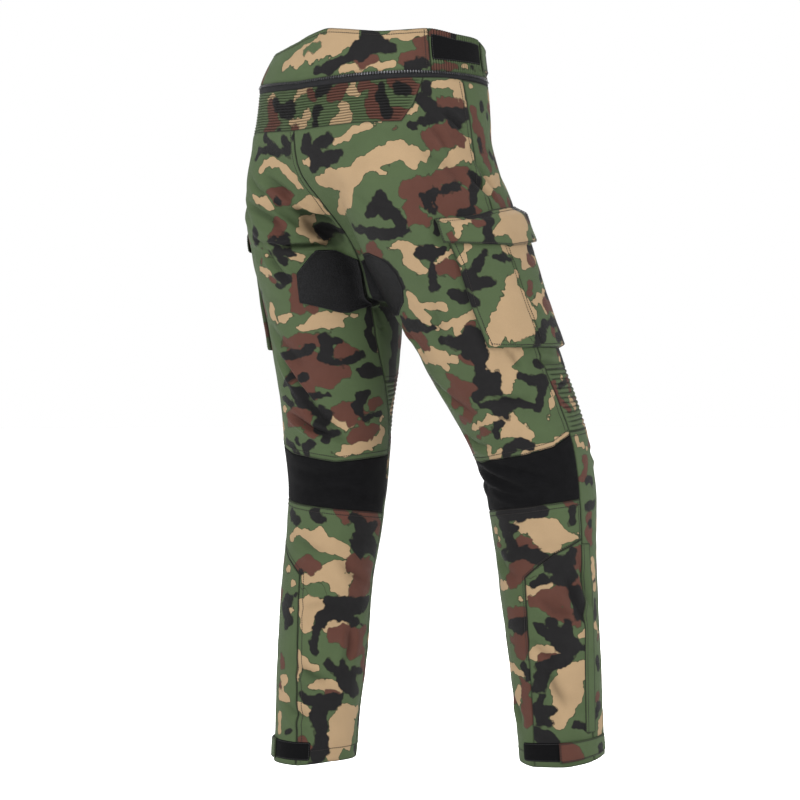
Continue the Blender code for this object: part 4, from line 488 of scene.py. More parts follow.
        ("B", [(-0.877, 62, 8.0), (-0.873, 50, 4.5)]),
        ("K", [(-0.717, 13, 3.8), (-0.733, 22, 9.6), (-0.745, 28, 14.8), (-0.755, 24, 10.9)]),
        ("K", [(-0.735, 41, 10.3), (-0.745, 28, 13.5), (-0.757, 38, 7.7)]),
        ("K", [(-0.765, 66, 3.8), (-0.757, 52, 4.5)]),
        ("K", [(-0.777, 14, 7.7), (-0.793, 5, 12.8), (-0.807, 12, 7.7), (-0.817, -2, 5.5)]),
        ("K", [(-0.779, 0, 5.8), (-0.801, -6, 5.1)]),
        ("K", [(-0.827, 62, 5.1), (-0.835, 56, 6.4), (-0.841, 46, 7.7), (-0.853, 39, 10.9)]),
        ("K", [(-0.821, 48, 5.5), (-0.839, 44, 7.7)]),
        ("K", [(-0.823, 28, 5.5), (-0.841, 32, 7.7), (-0.853, 36, 10.9), (-0.857, 25, 10.9), (-0.861, 12, 4.5)]),
        ("K", [(-0.873, 34, 8.7), (-0.883, 52, 7.1), (-0.893, 64, 8.7), (-0.909, 68, 8.7), (-0.919, 74, 6.1)]),
        ("K", [(-0.935, 68, 4.5), (-0.949, 75, 7.1), (-0.965, 73, 8.3), (-0.971, 64, 6.4)]),
        ("K", [(-0.949, 75, 6.4), (-0.951, 60, 7.1)]),
        ("K", [(-0.987, 82, 7.1), (-0.993, 69, 10.9), (-0.999, 58, 7.7)]),
        ("K", [(-0.973, 25, 4.2), (-0.979, 8, 4.5)]),
        ("K", [(-0.953, 0, 3.8), (-0.959, -4, 3.8)]),
    ],
    ("hem_tab_R", "R"): [
        ("B", [(-1.001, 44, 5.8), (-1.015, 40, 10.9), (-1.021, 30, 8.3)]),
        ("K", [(-1.013, -15, 5.1), (-1.021, -11, 3.8)]),
    ],
    ("waistband_side_R", "R"): [
        ("B", [(0.028, 18, 5.1), (0.026, 8, 6.6)]),
        ("B", [(-0.02, 20, 3.9), (-0.02, 10, 4.8), (-0.018, 2, 3.6)]),
        ("T", [(-0.018, -5, 3.3), (-0.018, -10, 2.1)]),
        ("T", [(-0.018, -28, 2.7)]),
        ("K", [(0.024, 1, 3.0)]),
        ("K", [(-0.016, -18, 3.3)]),
        ("K", [(0.026, 19, 2.1)]),
    ],
    ("calf_back_L", "L"): [
        ("T", [(-0.703, 52, 3.7), (-0.691, 60, 4.0), (-0.697, 80, 6.2), (-0.701, 94, 10.6), (-0.715, 114, 11.2), (-0.721, 128, 7.8), (-0.731, 142, 3.4)]),
        ("T", [(-0.705, 86, 6.8), (-0.715, 102, 8.1)]),
        ("T", [(-0.761, 84, 6.8), (-0.757, 100, 8.4), (-0.751, 116, 10.0), (-0.743, 126, 10.0), (-0.739, 140, 4.7), (-0.741, 150, 2.5)]),
        ("T", [(-0.755, 122, 10.6), (-0.771, 128, 11.2), (-0.787, 133, 6.8)]),
        ("T", [(-0.761, 139, 6.2), (-0.755, 151, 3.4), (-0.757, 164, 2.2)]),
        ("T", [(-0.801, 84, 11.2), (-0.799, 93, 11.8), (-0.803, 108, 10.0), (-0.809, 120, 4.4)]),
        ("T", [(-0.815, 90, 11.8), (-0.829, 90, 10.0)]),
        ("T", [(-0.829, 139, 7.5), (-0.829, 128, 10.3), (-0.837, 116, 3.7)]),
        ("T", [(-0.871, 77, 5.9), (-0.885, 90, 6.8), (-0.895, 106, 3.4)]),
        ("T", [(-0.887, 81, 6.2), (-0.905, 80, 5.0)]),
        ("T", [(-0.919, 103, 3.7), (-0.919, 117, 6.8), (-0.923, 140, 8.1)]),
        ("T", [(-0.949, 84, 5.0), (-0.957, 94, 5.6), (-0.963, 104, 2.5)]),
        ("T", [(-0.961, 174, 6.8), (-0.959, 155, 11.8), (-0.977, 148, 16.8), (-0.999, 144, 15.6), (-1.023, 140, 9.3)]),
        ("T", [(-0.981, 162, 11.2), (-1.001, 160, 13.1)]),
        ("G", [(-0.771, 82, 3.4), (-0.777, 94, 9.7), (-0.781, 105, 7.5)]),
        ("B", [(-0.747, 68, 5.9), (-0.739, 82, 10.6), (-0.743, 92, 8.1)]),
        ("B", [(-0.659, 112, 3.7), (-0.671, 126, 8.1)]),
        ("B", [(-0.665, 136, 3.7), (-0.671, 162, 12.5), (-0.695, -172, 8.1)]),
        ("B", [(-0.739, 146, 11.2), (-0.749, 161, 13.1), (-0.745, 174, 9.3)]),
        ("B", [(-0.757, 162, 12.5), (-0.775, 157, 14.3), (-0.775, 175, 8.1)]),
        ("B", [(-0.783, 149, 6.2)]),
        ("B", [(-0.845, 126, 6.8), (-0.845, 140, 12.5), (-0.851, 161, 14.3), (-0.839, 174, 6.2)]),
        ("B", [(-0.869, 156, 8.1), (-0.869, 172, 8.1)]),
        ("B", [(-0.933, 126, 5.6), (-0.933, 136, 5.0)]),
        ("B", [(-1.001, 93, 4.7), (-1.013, 100, 8.1)]),
        ("K", [(-0.665, 86, 5.9), (-0.673, 95, 5.9)]),
        ("K", [(-0.667, 46, 5.3), (-0.675, 58, 6.8)]),
        ("K", [(-0.671, 140, 6.8), (-0.691, 151, 10.6), (-0.709, 150, 8.7), (-0.713, 171, 10.6), (-0.727, -170, 6.2)]),
        ("K", [(-0.693, 155, 8.7), (-0.681, 173, 5.0)]),
        ("K", [(-0.691, 151, 8.1), (-0.703, 144, 7.5)]),
        ("K", [(-0.715, 142, 3.7), (-0.725, 153, 5.0)]),
        ("K", [(-0.793, 112, 3.7), (-0.795, 125, 7.5), (-0.805, 134, 10.6), (-0.803, 152, 10.6), (-0.797, 176, 6.2)]),
        ("K", [(-0.815, 135, 8.4), (-0.825, 154, 4.7), (-0.831, 170, 2.5)]),
        ("K", [(-0.813, 124, 6.8), (-0.817, 109, 7.8), (-0.829, 109, 5.3), (-0.845, 103, 3.7), (-0.857, 101, 5.0), (-0.867, 104, 4.4)]),
        ("K", [(-0.885, 122, 4.0), (-0.893, 131, 5.3), (-0.905, 142, 8.1)]),
        ("K", [(-0.885, 140, 4.4), (-0.899, 145, 6.8), (-0.915, 150, 10.0), (-0.929, 168, 8.1)]),
        ("K", [(-0.903, 176, 3.1), (-0.899, 163, 5.6), (-0.911, 153, 8.7)]),
        ("K", [(-0.935, 90, 3.7), (-0.941, 104, 6.8), (-0.945, 122, 10.6), (-0.939, 140, 6.2)]),
        ("K", [(-0.951, 116, 9.3), (-0.963, 114, 10.6), (-0.979, 118, 8.1), (-0.993, 120, 6.2), (-1.003, 123, 8.1), (-1.019, 118, 9.3), (-1.031, 112, 5.6)]),
        ("K", [(-0.749, 76, 2.8)]),
        ("K", [(-0.865, -172, 5.0)]),
    ],
    ("calf_side_L", "L"): [
        ("T", [(-0.751, 51, 4.0)]),
        ("T", [(-0.769, 64, 3.7)]),
        ("T", [(-0.807, 66, 4.0)]),
        ("T", [(-0.913, 59, 5.6), (-0.933, 54, 6.8), (-0.939, 66, 4.7)]),
        ("T", [(-0.985, 52, 5.0), (-0.963, 54, 2.8)]),
        ("B", [(-0.883, 52, 6.2), (-0.895, 52, 5.0)]),
        ("B", [(-0.923, 51, 3.7)]),
        ("K", [(-0.787, 70, 2.8), (-0.795, 58, 7.8), (-0.805, 50, 6.2), (-0.825, 61, 6.8), (-0.833, 58, 4.4)]),
        ("K", [(-0.989, 72, 4.0)]),
        ("K", [(-0.757, 52, 2.8)]),
    ],
    ("back_L", "L"): [
        ("T", [(-0.162, 92, 3.3), (-0.15, 96, 4.5), (-0.148, 104, 5.1), (-0.154, 110, 6.0), (-0.166, 116, 7.6), (-0.182, 120, 5.4)]),
        ("T", [(-0.212, 116, 3.3), (-0.206, 120, 3.6), (-0.2, 127, 7.9), (-0.212, 132, 7.6), (-0.22, 138, 3.0)]),
        ("T", [(-0.196, 86, 3.9), (-0.204, 90, 6.6), (-0.21, 96, 7.2)]),
        ("T", [(-0.232, 118, 4.8), (-0.244, 121, 10.9), (-0.254, 128, 10.9), (-0.262, 136, 6.0)]),
        ("T", [(-0.238, 120, 8.5), (-0.236, 126, 7.6)]),
        ("B", [(-0.192, 100, 5.1), (-0.2, 106, 10.3), (-0.196, 112, 5.4)]),
        ("B", [(-0.232, 102, 6.6), (-0.242, 104, 7.6), (-0.254, 100, 5.4)]),
        ("K", [(-0.11, 94, 4.8), (-0.124, 100, 5.4), (-0.134, 106, 5.4), (-0.136, 116, 4.8), (-0.12, 114, 6.6)]),
        ("K", [(-0.116, 119, 3.6)]),
        ("K", [(-0.126, 100, 4.2), (-0.132, 88, 3.6), (-0.142, 86, 2.4)]),
        ("K", [(-0.264, 96, 4.2), (-0.256, 100, 3.0)]),
        ("K", [(-0.262, 106, 7.2)]),
        ("K", [(-0.264, 79, 4.5), (-0.246, 85, 5.4)]),
        ("K", [(-0.204, 104, 3.6)]),
        ("K", [(-0.244, 130, 3.0), (-0.248, 136, 9.1), (-0.248, 146, 7.6)]),
        ("T", [(-0.278, 88, 2.7), (-0.286, 92, 2.3)]),
        ("T", [(-0.28, 106, 1.6), (-0.284, 111, 4.1), (-0.288, 116, 4.5)]),
        ("T", [(-0.302, 78, 2.7), (-0.304, 85, 5.0), (-0.308, 90, 4.1)]),
        ("T", [(-0.352, 75, 4.1), (-0.366, 72, 6.1), (-0.378, 76, 5.0), (-0.374, 87, 4.1), (-0.368, 94, 1.8)]),
        ("T", [(-0.39, 99, 2.3), (-0.386, 106, 7.2), (-0.378, 115, 10.2), (-0.378, 123, 10.2), (-0.38, 130, 7.7), (-0.384, 134, 2.7)]),
        ("T", [(-0.368, 124, 4.5), (-0.372, 134, 3.6), (-0.372, 142, 2.7), (-0.37, 151, 1.6)]),
        ("T", [(-0.507, 47, 4.5)]),
        ("T", [(-0.519, 112, 2.0), (-0.525, 114, 5.7), (-0.535, 122, 7.5), (-0.533, 131, 2.5)]),
        ("T", [(-0.521, 168, 3.6), (-0.529, 164, 2.7), (-0.543, 170, 5.7), (-0.557, 163, 5.7), (-0.563, 150, 7.0), (-0.567, 134, 7.5), (-0.569, 124, 5.7)]),
        ("T", [(-0.575, 107, 2.7), (-0.575, 120, 2.0)]),
        ("B", [(-0.256, 98, 5.4)]),
        ("B", [(-0.258, 106, 4.1)]),
        ("B", [(-0.258, 84, 3.6), (-0.27, 84, 3.2)]),
        ("B", [(-0.314, 107, 2.7), (-0.332, 105, 2.9), (-0.342, 104, 7.5), (-0.354, 102, 7.7), (-0.362, 104, 5.4)]),
        ("B", [(-0.358, 110, 2.7), (-0.36, 115, 5.7)]),
        ("B", [(-0.316, 89, 3.9)]),
        ("B", [(-0.292, 82, 2.7)]),
        ("B", [(-0.412, 76, 6.8), (-0.408, 96, 7.7), (-0.404, 110, 7.7)]),
        ("B", [(-0.426, 83, 11.3), (-0.432, 96, 14.5), (-0.448, 101, 16.3), (-0.456, 111, 15.9), (-0.458, 119, 9.5), (-0.452, 130, 5.9)]),
        ("B", [(-0.444, 79, 12.2), (-0.462, 72, 5.9)]),
        ("B", [(-0.462, 88, 13.6), (-0.48, 90, 6.8), (-0.486, 94, 4.5)]),
        ("B", [(-0.468, 109, 9.1)]),
        ("B", [(-0.416, 136, 3.9), (-0.424, 130, 10.0), (-0.424, 141, 4.5)]),
        ("B", [(-0.529, 54, 5.7), (-0.521, 60, 12.2), (-0.519, 79, 9.1), (-0.539, 82, 5.9), (-0.549, 88, 5.4)]),
        ("B", [(-0.511, 116, 7.7), (-0.513, 123, 12.2), (-0.511, 133, 12.2), (-0.525, 128, 5.4)]),
        ("B", [(-0.503, 155, 8.6), (-0.5, 163, 4.5)]),
        ("B", [(-0.529, 139, 5.7)]),
        ("B", [(-0.555, 129, 5.9), (-0.547, 138, 10.0), (-0.543, 149, 8.2), (-0.537, 156, 6.8)]),
        ("K", [(-0.274, 90, 2.7), (-0.28, 94, 4.5), (-0.28, 100, 7.7), (-0.28, 108, 5.4)]),
        ("K", [(-0.284, 100, 5.9), (-0.29, 104, 5.4), (-0.294, 105, 2.9)]),
        ("K", [(-0.314, 98, 5.4), (-0.316, 103, 3.6)]),
        ("K", [(-0.326, 91, 2.5), (-0.326, 97, 3.6), (-0.32, 101, 2.7)]),
        ("K", [(-0.43, 72, 5.7), (-0.428, 83, 6.1), (-0.424, 96, 5.0), (-0.416, 106, 4.1)]),
        ("K", [(-0.402, 119, 5.4), (-0.416, 117, 7.7), (-0.432, 113, 5.7), (-0.442, 117, 3.6), (-0.44, 125, 2.9), (-0.44, 133, 3.2), (-0.432, 143, 5.0), (-0.428, 150, 2.7)]),
        ("K", [(-0.408, 121, 5.7), (-0.408, 130, 2.5)]),
        ("K", [(-0.466, 83, 3.4), (-0.462, 90, 5.7)]),
        ("K", [(-0.492, 89, 2.9), (-0.49, 100, 2.9), (-0.488, 109, 2.3)]),
        ("K", [(-0.474, 55, 3.4), (-0.462, 70, 3.4)]),
        ("K", [(-0.472, 67, 4.5), (-0.484, 71, 6.1), (-0.496, 77, 7.7), (-0.503, 84, 5.4)]),
        ("K", [(-0.502, 62, 4.3), (-0.494, 48, 2.9)]),
        ("K", [(-0.511, 90, 4.3), (-0.513, 99, 7.7), (-0.519, 104, 6.8), (-0.529, 96, 7.7), (-0.539, 91, 4.5)]),
        ("K", [(-0.535, 94, 5.4), (-0.545, 101, 4.5), (-0.545, 112, 3.6)]),
        ("K", [(-0.555, 101, 5.0)]),
        ("K", [(-0.486, 149, 3.9), (-0.492, 142, 7.7), (-0.5, 138, 5.7), (-0.513, 138, 5.0), (-0.523, 142, 3.2), (-0.519, 152, 2.7), (-0.515, 165, 2.3)]),
        ("K", [(-0.557, 45, 2.9), (-0.565, 55, 3.2), (-0.573, 66, 3.6)]),
        ("K", [(-0.553, 65, 2.7), (-0.563, 68, 2.9)]),
        ("K", [(-0.559, 90, 2.7), (-0.561, 85, 5.4), (-0.567, 76, 5.4), (-0.573, 76, 4.5)]),
        ("K", [(-0.45, 141, 2.0), (-0.452, 150, 8.2), (-0.45, 157, 7.7), (-0.454, 165, 5.4)]),
        ("K", [(-0.358, 168, 6.8), (-0.38, 163, 5.0), (-0.402, 159, 5.4), (-0.416, 163, 5.4)]),
        ("T", [(-0.37, -178, 7.7), (-0.384, -177, 7.7), (-0.4, 175, 6.3), (-0.408, -179, 4.5)]),
        ("T", [(-0.412, 171, 3.6), (-0.422, 167, 2.0)]),
    ],
    ("front_L", "L"): [
        ("K", [(-0.356, -174, 7.7), (-0.378, -162, 9.1), (-0.402, -163, 9.1), (-0.43, -170, 8.2), (-0.448, -173, 8.6), (-0.47, -173, 8.2), (-0.494, -170, 6.8)]),
        ("K", [(-0.531, -173, 4.5), (-0.515, -165, 4.5)]),
        ("K", [(-0.561, -172, 3.6), (-0.573, -160, 3.2)]),
        ("T", [(-0.545, -170, 3.6), (-0.557, -172, 3.2)]),
    ],
}

def table(rows, at):
    """The second column of a short table at the given values of its first, by straight lines."""
    rows = sorted(rows)
    return np.interp(at, [r[0] for r in rows], [r[1] for r in rows])


def columns(rows, z):
    """All columns of a section table at heights z, by a smooth curve through its rows."""
    rows = np.array(rows)[::-1]
    heights, cols = rows[:, 0], rows[:, 1:]
    slope = np.gradient(cols, heights, axis=0)
    z = np.clip(np.asarray(z, float), heights[0], heights[-1])
    i = np.clip(np.searchsorted(heights, z, side="right") - 1, 0, len(heights) - 2)
    h = (heights[i + 1] - heights[i])[..., None]
    t = (z - heights[i])[..., None] / h
    a, b = cols[i], cols[i + 1]
    ma, mb = slope[i] * h, slope[i + 1] * h
    out = (2 * t**3 - 3 * t**2 + 1) * a + (t**3 - 2 * t**2 + t) * ma + (3 * t**2 - 2 * t**3) * b + (t**3 - t**2) * mb
    return np.moveaxis(out, -1, 0)


def oval(dx, dy, x_plus, x_minus, y_plus, y_minus, power):
    """Distance out from an oval with four half widths: negative inside."""
    a = np.where(dx > 0, x_plus, x_minus)
    b = np.where(dy > 0, y_plus, y_minus)
    g = ((np.abs(dx) / a) ** power + (np.abs(dy) / b) ** power) ** (1 / power)
    return np.where(g > 1e-6, np.hypot(dx, dy) * (1 - 1 / np.maximum(g, 1e-6)), -np.minimum(a, b))


def soft_min(p, q, k):
    h = np.clip(0.5 + 0.5 * (q - p) / k, 0, 1)
    return q + (p - q) * h - k * h * (1 - h)


class Form:
    """The form's sections at given heights."""

    def __init__(self, z):
        z = np.asarray(z, float)
        self.trunk = columns(TRUNK, z)
        t = np.clip((TRUNK[-1][0] + 0.001 - z) / 0.034, 0, 1)
        self.fade = 0.06 * t * t * (3 - 2 * t)      # the trunk dies out below the crotch
        self.legs = {side: columns(rows, z) for side, (_, rows) in SIDES.items()}

    def field(self, x, y):
        aft, right, left, front, back, power = self.trunk
        found = oval(x, y - aft, left, right, back, front, power) + self.fade
        for side, (sign, _) in SIDES.items():
            out, aft, r_out, r_in, r_front, r_back, power = self.legs[side]
            leg = oval((x - sign * out) * sign, y - aft, r_out, r_in, r_back, r_front, power)
            found = soft_min(found, leg, BLEND)
        return found

    def centre(self, side):
        return SIDES[side][0] * self.legs[side][0], self.legs[side][1]


def crotch():
    """The lowest point where the two sides still meet at the middle plane."""
    y = np.linspace(-0.12, 0.14, 521)
    low, high = -0.45, -0.15
    for _ in range(26):
        mid = (low + high) / 2
        if Form(np.full_like(y, mid)).field(0 * y, y).min() < 0:
            high = mid
        else:
            low = mid
    return high, float(y[np.argmin(Form(np.full_like(y, high)).field(0 * y, y))])


CROTCH_Z, CROTCH_Y = crotch()


def rise_y(z, way):
    """y of the middle seam at heights z: way is 1 for the back and -1 for the front."""
    z = np.maximum(np.asarray(z, float), CROTCH_Z + 1e-7)
    form = Form(z)
    inner, outer = np.full(z.shape, CROTCH_Y), np.full(z.shape, 0.25 * way)
    for _ in range(30):
        mid = (inner + outer) / 2
        out = form.field(0 * mid, mid) > 0
        outer, inner = np.where(out, mid, outer), np.where(out, inner, mid)
    return (inner + outer) / 2


def turn(side, z):
    return table(TURN[side], z)


EDGES = {}


def limits(side, z):
    """Directions, in degrees, of the front and the back edge of a side: the middle seam above the crotch, the inseam below it."""
    if side not in EDGES:
        sign = SIDES[side][0]
        heights = CROTCH_Z + (0.085 - CROTCH_Z) * np.linspace(0, 1, 700) ** 2
        cx, cy = Form(heights).centre(side)
        front = np.degrees(np.arctan2(rise_y(heights, -1) - cy, -cx * sign)) % 360 - 360
        back = np.degrees(np.arctan2(rise_y(heights, 1) - cy, -cx * sign)) % 360
        EDGES[side] = heights, front, back
    heights, front, back = EDGES[side]
    z = np.asarray(z, float)
    start = (front[0] + 360 + back[0]) / 2
    t = np.clip((CROTCH_Z - z) / 0.22, 0, 1)
    seam = start + (INSEAM + turn(side, z) - start) * (t * t * (3 - 2 * t))
    above = z > CROTCH_Z
    return np.where(above, np.interp(z, heights, front), seam - 360), np.where(above, np.interp(z, heights, back), seam)


def bare(side, way, z):
    """Points of the form, with no folds or lean, and their centres and directions."""
    sign = SIDES[side][0]
    way, z = np.broadcast_arrays(np.asarray(way, float), np.asarray(z, float))
    form = Form(z)
    cx, cy = form.centre(side)
    ux, uy = sign * np.cos(np.radians(way)), np.sin(np.radians(way))
    inward = ux * sign < -1e-3
    far = np.where(inward, np.minimum(0.30, -cx / np.where(inward, ux, 1)), 0.30)
    low, high, done = np.zeros(way.shape), far.copy(), np.zeros(way.shape, bool)
    for share in np.linspace(0.08, 1, 22)[:-1]:
        r = share * far
        out = form.field(cx + r * ux, cy + r * uy) > 0
        high = np.where(out & ~done, r, high)
        done |= out
        low = np.where(done, low, r)
    for _ in range(15):
        mid = (low + high) / 2
        out = form.field(cx + mid * ux, cy + mid * uy) > 0
        high, low = np.where(out, mid, high), np.where(out, low, mid)
    r = (low + high) / 2
    return np.stack([cx + r * ux, cy + r * uy, z], -1), np.stack([ux, uy, 0 * ux], -1), r


def band(points, column):
    """The waistband table's column at points round the waist, by a smooth closed curve."""
    direction = np.degrees(np.arctan2(points[..., 1], points[..., 0])) % 360
    k = BAND_COLUMNS.index(column)
    at, rows = np.array([r[0] for r in BAND]), np.array([r[k] for r in BAND])
    wide, high = np.concatenate([[at[-2] - 360], at, [at[1] + 360]]), np.concatenate([[rows[-2]], rows, [rows[1]]])
    slope = (high[2:] - high[:-2]) / (wide[2:] - wide[:-2])
    i = np.clip(np.searchsorted(at, direction, side="right") - 1, 0, len(at) - 2)
    h = at[i + 1] - at[i]
    t = (direction - at[i]) / h
    return ((2 * t**3 - 3 * t**2 + 1) * rows[i] + (t**3 - 2 * t**2 + t) * slope[i] * h + (3 * t**2 - 2 * t**3) * rows[i + 1] + (t**3 - t**2) * slope[i + 1] * h)


FOLD_LINES = []


def fold_lines():
    """The folds' ends as points of the form."""
    if not FOLD_LINES:
        for side, z_a, turn_a, z_b, turn_b, depth, width in FOLDS:
            z = np.linspace(z_a, z_b, 7)
            way = np.linspace(turn_a, turn_b, 7) + turn(side, z)
            FOLD_LINES.append((side, bare(side, way, z)[0], depth, width))
    return FOLD_LINES


def folded(side, points):
    """How far out the folds move these points of the form."""
    moved = np.zeros(points.shape[:-1])
    for on, line, depth, width in fold_lines():
        if on != side:
            continue
        a, b = line[:-1], line[1:]
        ab = b - a
        t = np.clip(((points[..., None, :] - a) * ab).sum(-1) / (ab * ab).sum(-1), 0, 1)
        away = np.linalg.norm(points[..., None, :] - (a + t[..., None] * ab), axis=-1)
        k = away.argmin(-1)
        along = (k + np.take_along_axis(t, k[..., None], -1)[..., 0]) / len(a)
        moved = moved + depth * np.exp(-((away.min(-1) / width) ** 2)) * np.sin(pi * np.clip(along, 0.04, 0.96)) ** 0.6
    near = np.clip(np.abs(points[..., 0]) / 0.022, 0, 1)
    return moved * np.where(points[..., 2] > CROTCH_Z - 0.03, near * near * (3 - 2 * near), 1.0)


def place(side, way, z, lift=0.0):
    """Points of the worn cloth's inner face at directions way (degrees) and heights z, moved out by lift."""
    def at(w, h):
        front, back = limits(side, h)
        w = np.where(h > CROTCH_Z, np.clip(w, front, back), w)
        p, u, _ = bare(side, w, h)
        p = p + u * folded(side, p)[..., None]
        up = np.clip((p[..., 2] - BAND_FOOT) / 0.06, 0, 1)
        flat = np.stack([p[..., 0], p[..., 1], 0 * up], -1)
        return p - flat / np.linalg.norm(flat, axis=-1, keepdims=True) * (band(p, "lean") * up**1.4)[..., None]

    way, z = np.broadcast_arrays(np.asarray(way, float), np.asarray(z, float))
    p = at(way, z)
    if np.ndim(lift) == 0 and lift == 0:
        return p
    across = at(way - 1.0, z) - at(way + 1.0, z)
    down = at(way, z - 0.003) - at(way, z + 0.003)
    n = np.cross(across, down) * SIDES[side][0]
    n /= np.linalg.norm(n, axis=-1, keepdims=True)
    return p + n * np.broadcast_to(lift, way.shape)[..., None]


# ---------------------------------------------------------------- fine patches of the form

ALL_ROUND = (SEAM / 2,) * 4


def MIDDLE_GAP(z):
    """Half the gap at the middle seam and the inseam."""
    return np.full(np.shape(z), SEAM / 2)


def cut_finer(marks, counts):
    """Marks with each interval cut into that many equal parts."""
    out = [marks[:1]]
    for a, b, n in zip(marks[:-1], marks[1:], counts):
        out.append(a + (b - a) * np.arange(1, n + 1) / n)
    return np.concatenate(out)


def normals(points, flip):
    n = np.cross(np.gradient(points, axis=0), np.gradient(points, axis=1)) * (1 if flip else -1)
    return n / np.maximum(np.linalg.norm(n, axis=-1, keepdims=True), 1e-12)


def quads(rows, cols):
    k = np.arange(rows - 1)[:, None] * cols + np.arange(cols - 1)
    return np.stack([k, k + cols, k + cols + 1, k + 1], -1).reshape(-1, 4)


def run(points, axis):
    """Length along one axis of a grid of points, from its start."""
    step = np.linalg.norm(np.diff(points, axis=axis), axis=-1)
    zero = np.zeros_like(np.take(step, [0], axis=axis))
    return np.concatenate([zero, np.cumsum(step, axis=axis)], axis=axis)


class Grid:
    """A fine patch: P on the form, N outward, S and T its shares across and down, and far its distance in from each edge."""

    def measure(self):
        across, down = run(self.P, 1), run(self.P, 0)
        self.far = {"top": down, "foot": down[-1:] - down, "back": across, "front": across[:, -1:] - across}
        m = self.P.shape[1] // 2
        z = self.P[:, m, 2]
        order = np.argsort(z)
        self.U = across - across[:, m : m + 1]
        self.V = np.interp(self.P[..., 2], z[order], down[:, m][order])
        above, below = self.P[..., 2] > z[order][-1], self.P[..., 2] < z[order][0]
        self.V = np.where(above, down[:, m].min() - (self.P[..., 2] - z.max()), np.where(below, down[:, m].max() + (z.min() - self.P[..., 2]), self.V))
        return self


def grid(side, way_a, way_b, top, foot, across, rows, gaps=ALL_ROUND, cell=(1.0, 1.0), like=None):
    """As a patch of the solids, much finer: way_a and way_b give its back and front edge at a height, top and foot its heights at
    a direction, across its shares from back to front, and rows shares from the top, or the inner heights at both edges."""
    level_z = np.linspace(-1.06, 0.07, 90)
    reach = [bare(side, way(level_z), level_z)[2] for way in (way_a, way_b)]
    gap = [np.degrees((g(level_z) if callable(g) else g) / r) for g, r in zip(gaps[2:], reach)]

    def ways(S, z):
        a = way_a(z) - np.interp(z, level_z, gap[0])
        b = way_b(z) + np.interp(z, level_z, gap[1])
        return a + (b - a) * S

    def ends(S):
        z_top, z_foot = np.full(S.shape, -0.3), np.full(S.shape, -0.3)
        for _ in range(10):
            z_top, z_foot = top(ways(S, z_top)) - gaps[0], foot(ways(S, z_foot)) + gaps[1]
        return z_top, z_foot

    if like is None:
        rough = np.linspace(0, 1, 33)
        z_top, z_foot = ends(rough)
        wide = max(run(place(side, ways(rough, z), z), 0)[-1] for z in (z_top, (z_top + z_foot) / 2, z_foot))
        tall = [max(abs(z_foot[k] - z_top[k]), 0.004) for k in (0, -1)]
        if isinstance(rows, tuple):
            shares = [np.concatenate([[0.0], (np.array(rows[k]) - z_top[-k]) / (z_foot[-k] - z_top[-k]), [1.0]]) for k in (0, 1)]
        else:
            shares = [np.asarray(rows, float)] * 2
        counts = np.maximum(1, np.ceil(np.max([np.diff(shares[k]) * tall[k] for k in (0, 1)], axis=0) / (CELL * cell[1]))).astype(int)
        shares = [cut_finer(s, counts) for s in shares]
        near = [np.array([0.0008, 0.0020]) / t for t in tall]
        if min(tall) > 0.012 and counts.sum() > 3:
            low = np.minimum(shares[0] / near[0][1], shares[1] / near[1][1])
            high = np.minimum((1 - shares[0]) / near[0][1], (1 - shares[1]) / near[1][1])
            keep = (low > 1.4) & (high > 1.4)
            shares = [np.concatenate([[0.0], n, s[keep], 1 - n[::-1], [1.0]]) for s, n in zip(shares, near)]
        marks = np.asarray(across, float)
        counts = np.maximum(1, np.ceil(np.diff(marks) * wide / (CELL * cell[0]))).astype(int)
        marks = cut_finer(marks, counts)
        if wide > 0.012:
            n = np.array([0.0008, 0.0020]) / wide
            marks = np.concatenate([[0.0], n, marks[(marks > n[1] * 1.4) & (marks < 1 - n[1] * 1.4)], 1 - n[::-1], [1.0]])
    else:
        marks, shares = like.marks, like.shares

    z_top, z_foot = ends(marks)
    T = shares[0][:, None] * (1 - marks) + shares[1][:, None] * marks
    z = z_top + (z_foot - z_top) * T
    S = np.broadcast_to(marks, z.shape)
    g = Grid()
    g.side, g.marks, g.shares, g.S, g.T = side, marks, shares, S, T
    g.way = ways(S, z)
    g.P = place(side, g.way, z)
    g.flip = side == "R"
    for edge, gap_kind in ((0, gaps[2]), (-1, gaps[3])):
        if gap_kind is MIDDLE_GAP:
            above = z[:, edge] > CROTCH_Z - 1e-4
            g.P[above, edge, 0] = SIDES[side][0] * SEAM / 2
    g.N = normals(g.P, g.flip)
    for edge, gap_kind in ((0, gaps[2]), (-1, gaps[3])):
        if gap_kind is MIDDLE_GAP:
            above = z[:, edge] > CROTCH_Z - 1e-4
            g.N[above, edge, 0] = 0
            g.N[above, edge] /= np.linalg.norm(g.N[above, edge], axis=-1, keepdims=True)
    return g.measure()


def grid_over_middle(make):
    """One patch that crosses the middle plane: its left half, reversed, then its right half."""
    left = make("L", None)
    right = make("R", left)
    g = Grid()
    g.side, g.flip, g.marks, g.shares = "B", True, left.marks, left.shares
    middle, up = (left.P[:, :1] + right.P[:, :1]) / 2, left.N[:, :1] + right.N[:, :1]
    middle[..., 0], up[..., 0] = 0.0, 0.0
    up /= np.linalg.norm(up, axis=-1, keepdims=True)
    g.P = np.concatenate([left.P[:, :0:-1], middle, right.P[:, 1:]], 1)
    g.N = np.concatenate([left.N[:, :0:-1], up, right.N[:, 1:]], 1)
    g.S = np.concatenate([-left.S[:, :0:-1], right.S], 1)
    g.T = np.concatenate([left.T[:, :0:-1], right.T], 1)
    return g.measure()


# ---------------------------------------------------------------- creases and the hang of the cloth

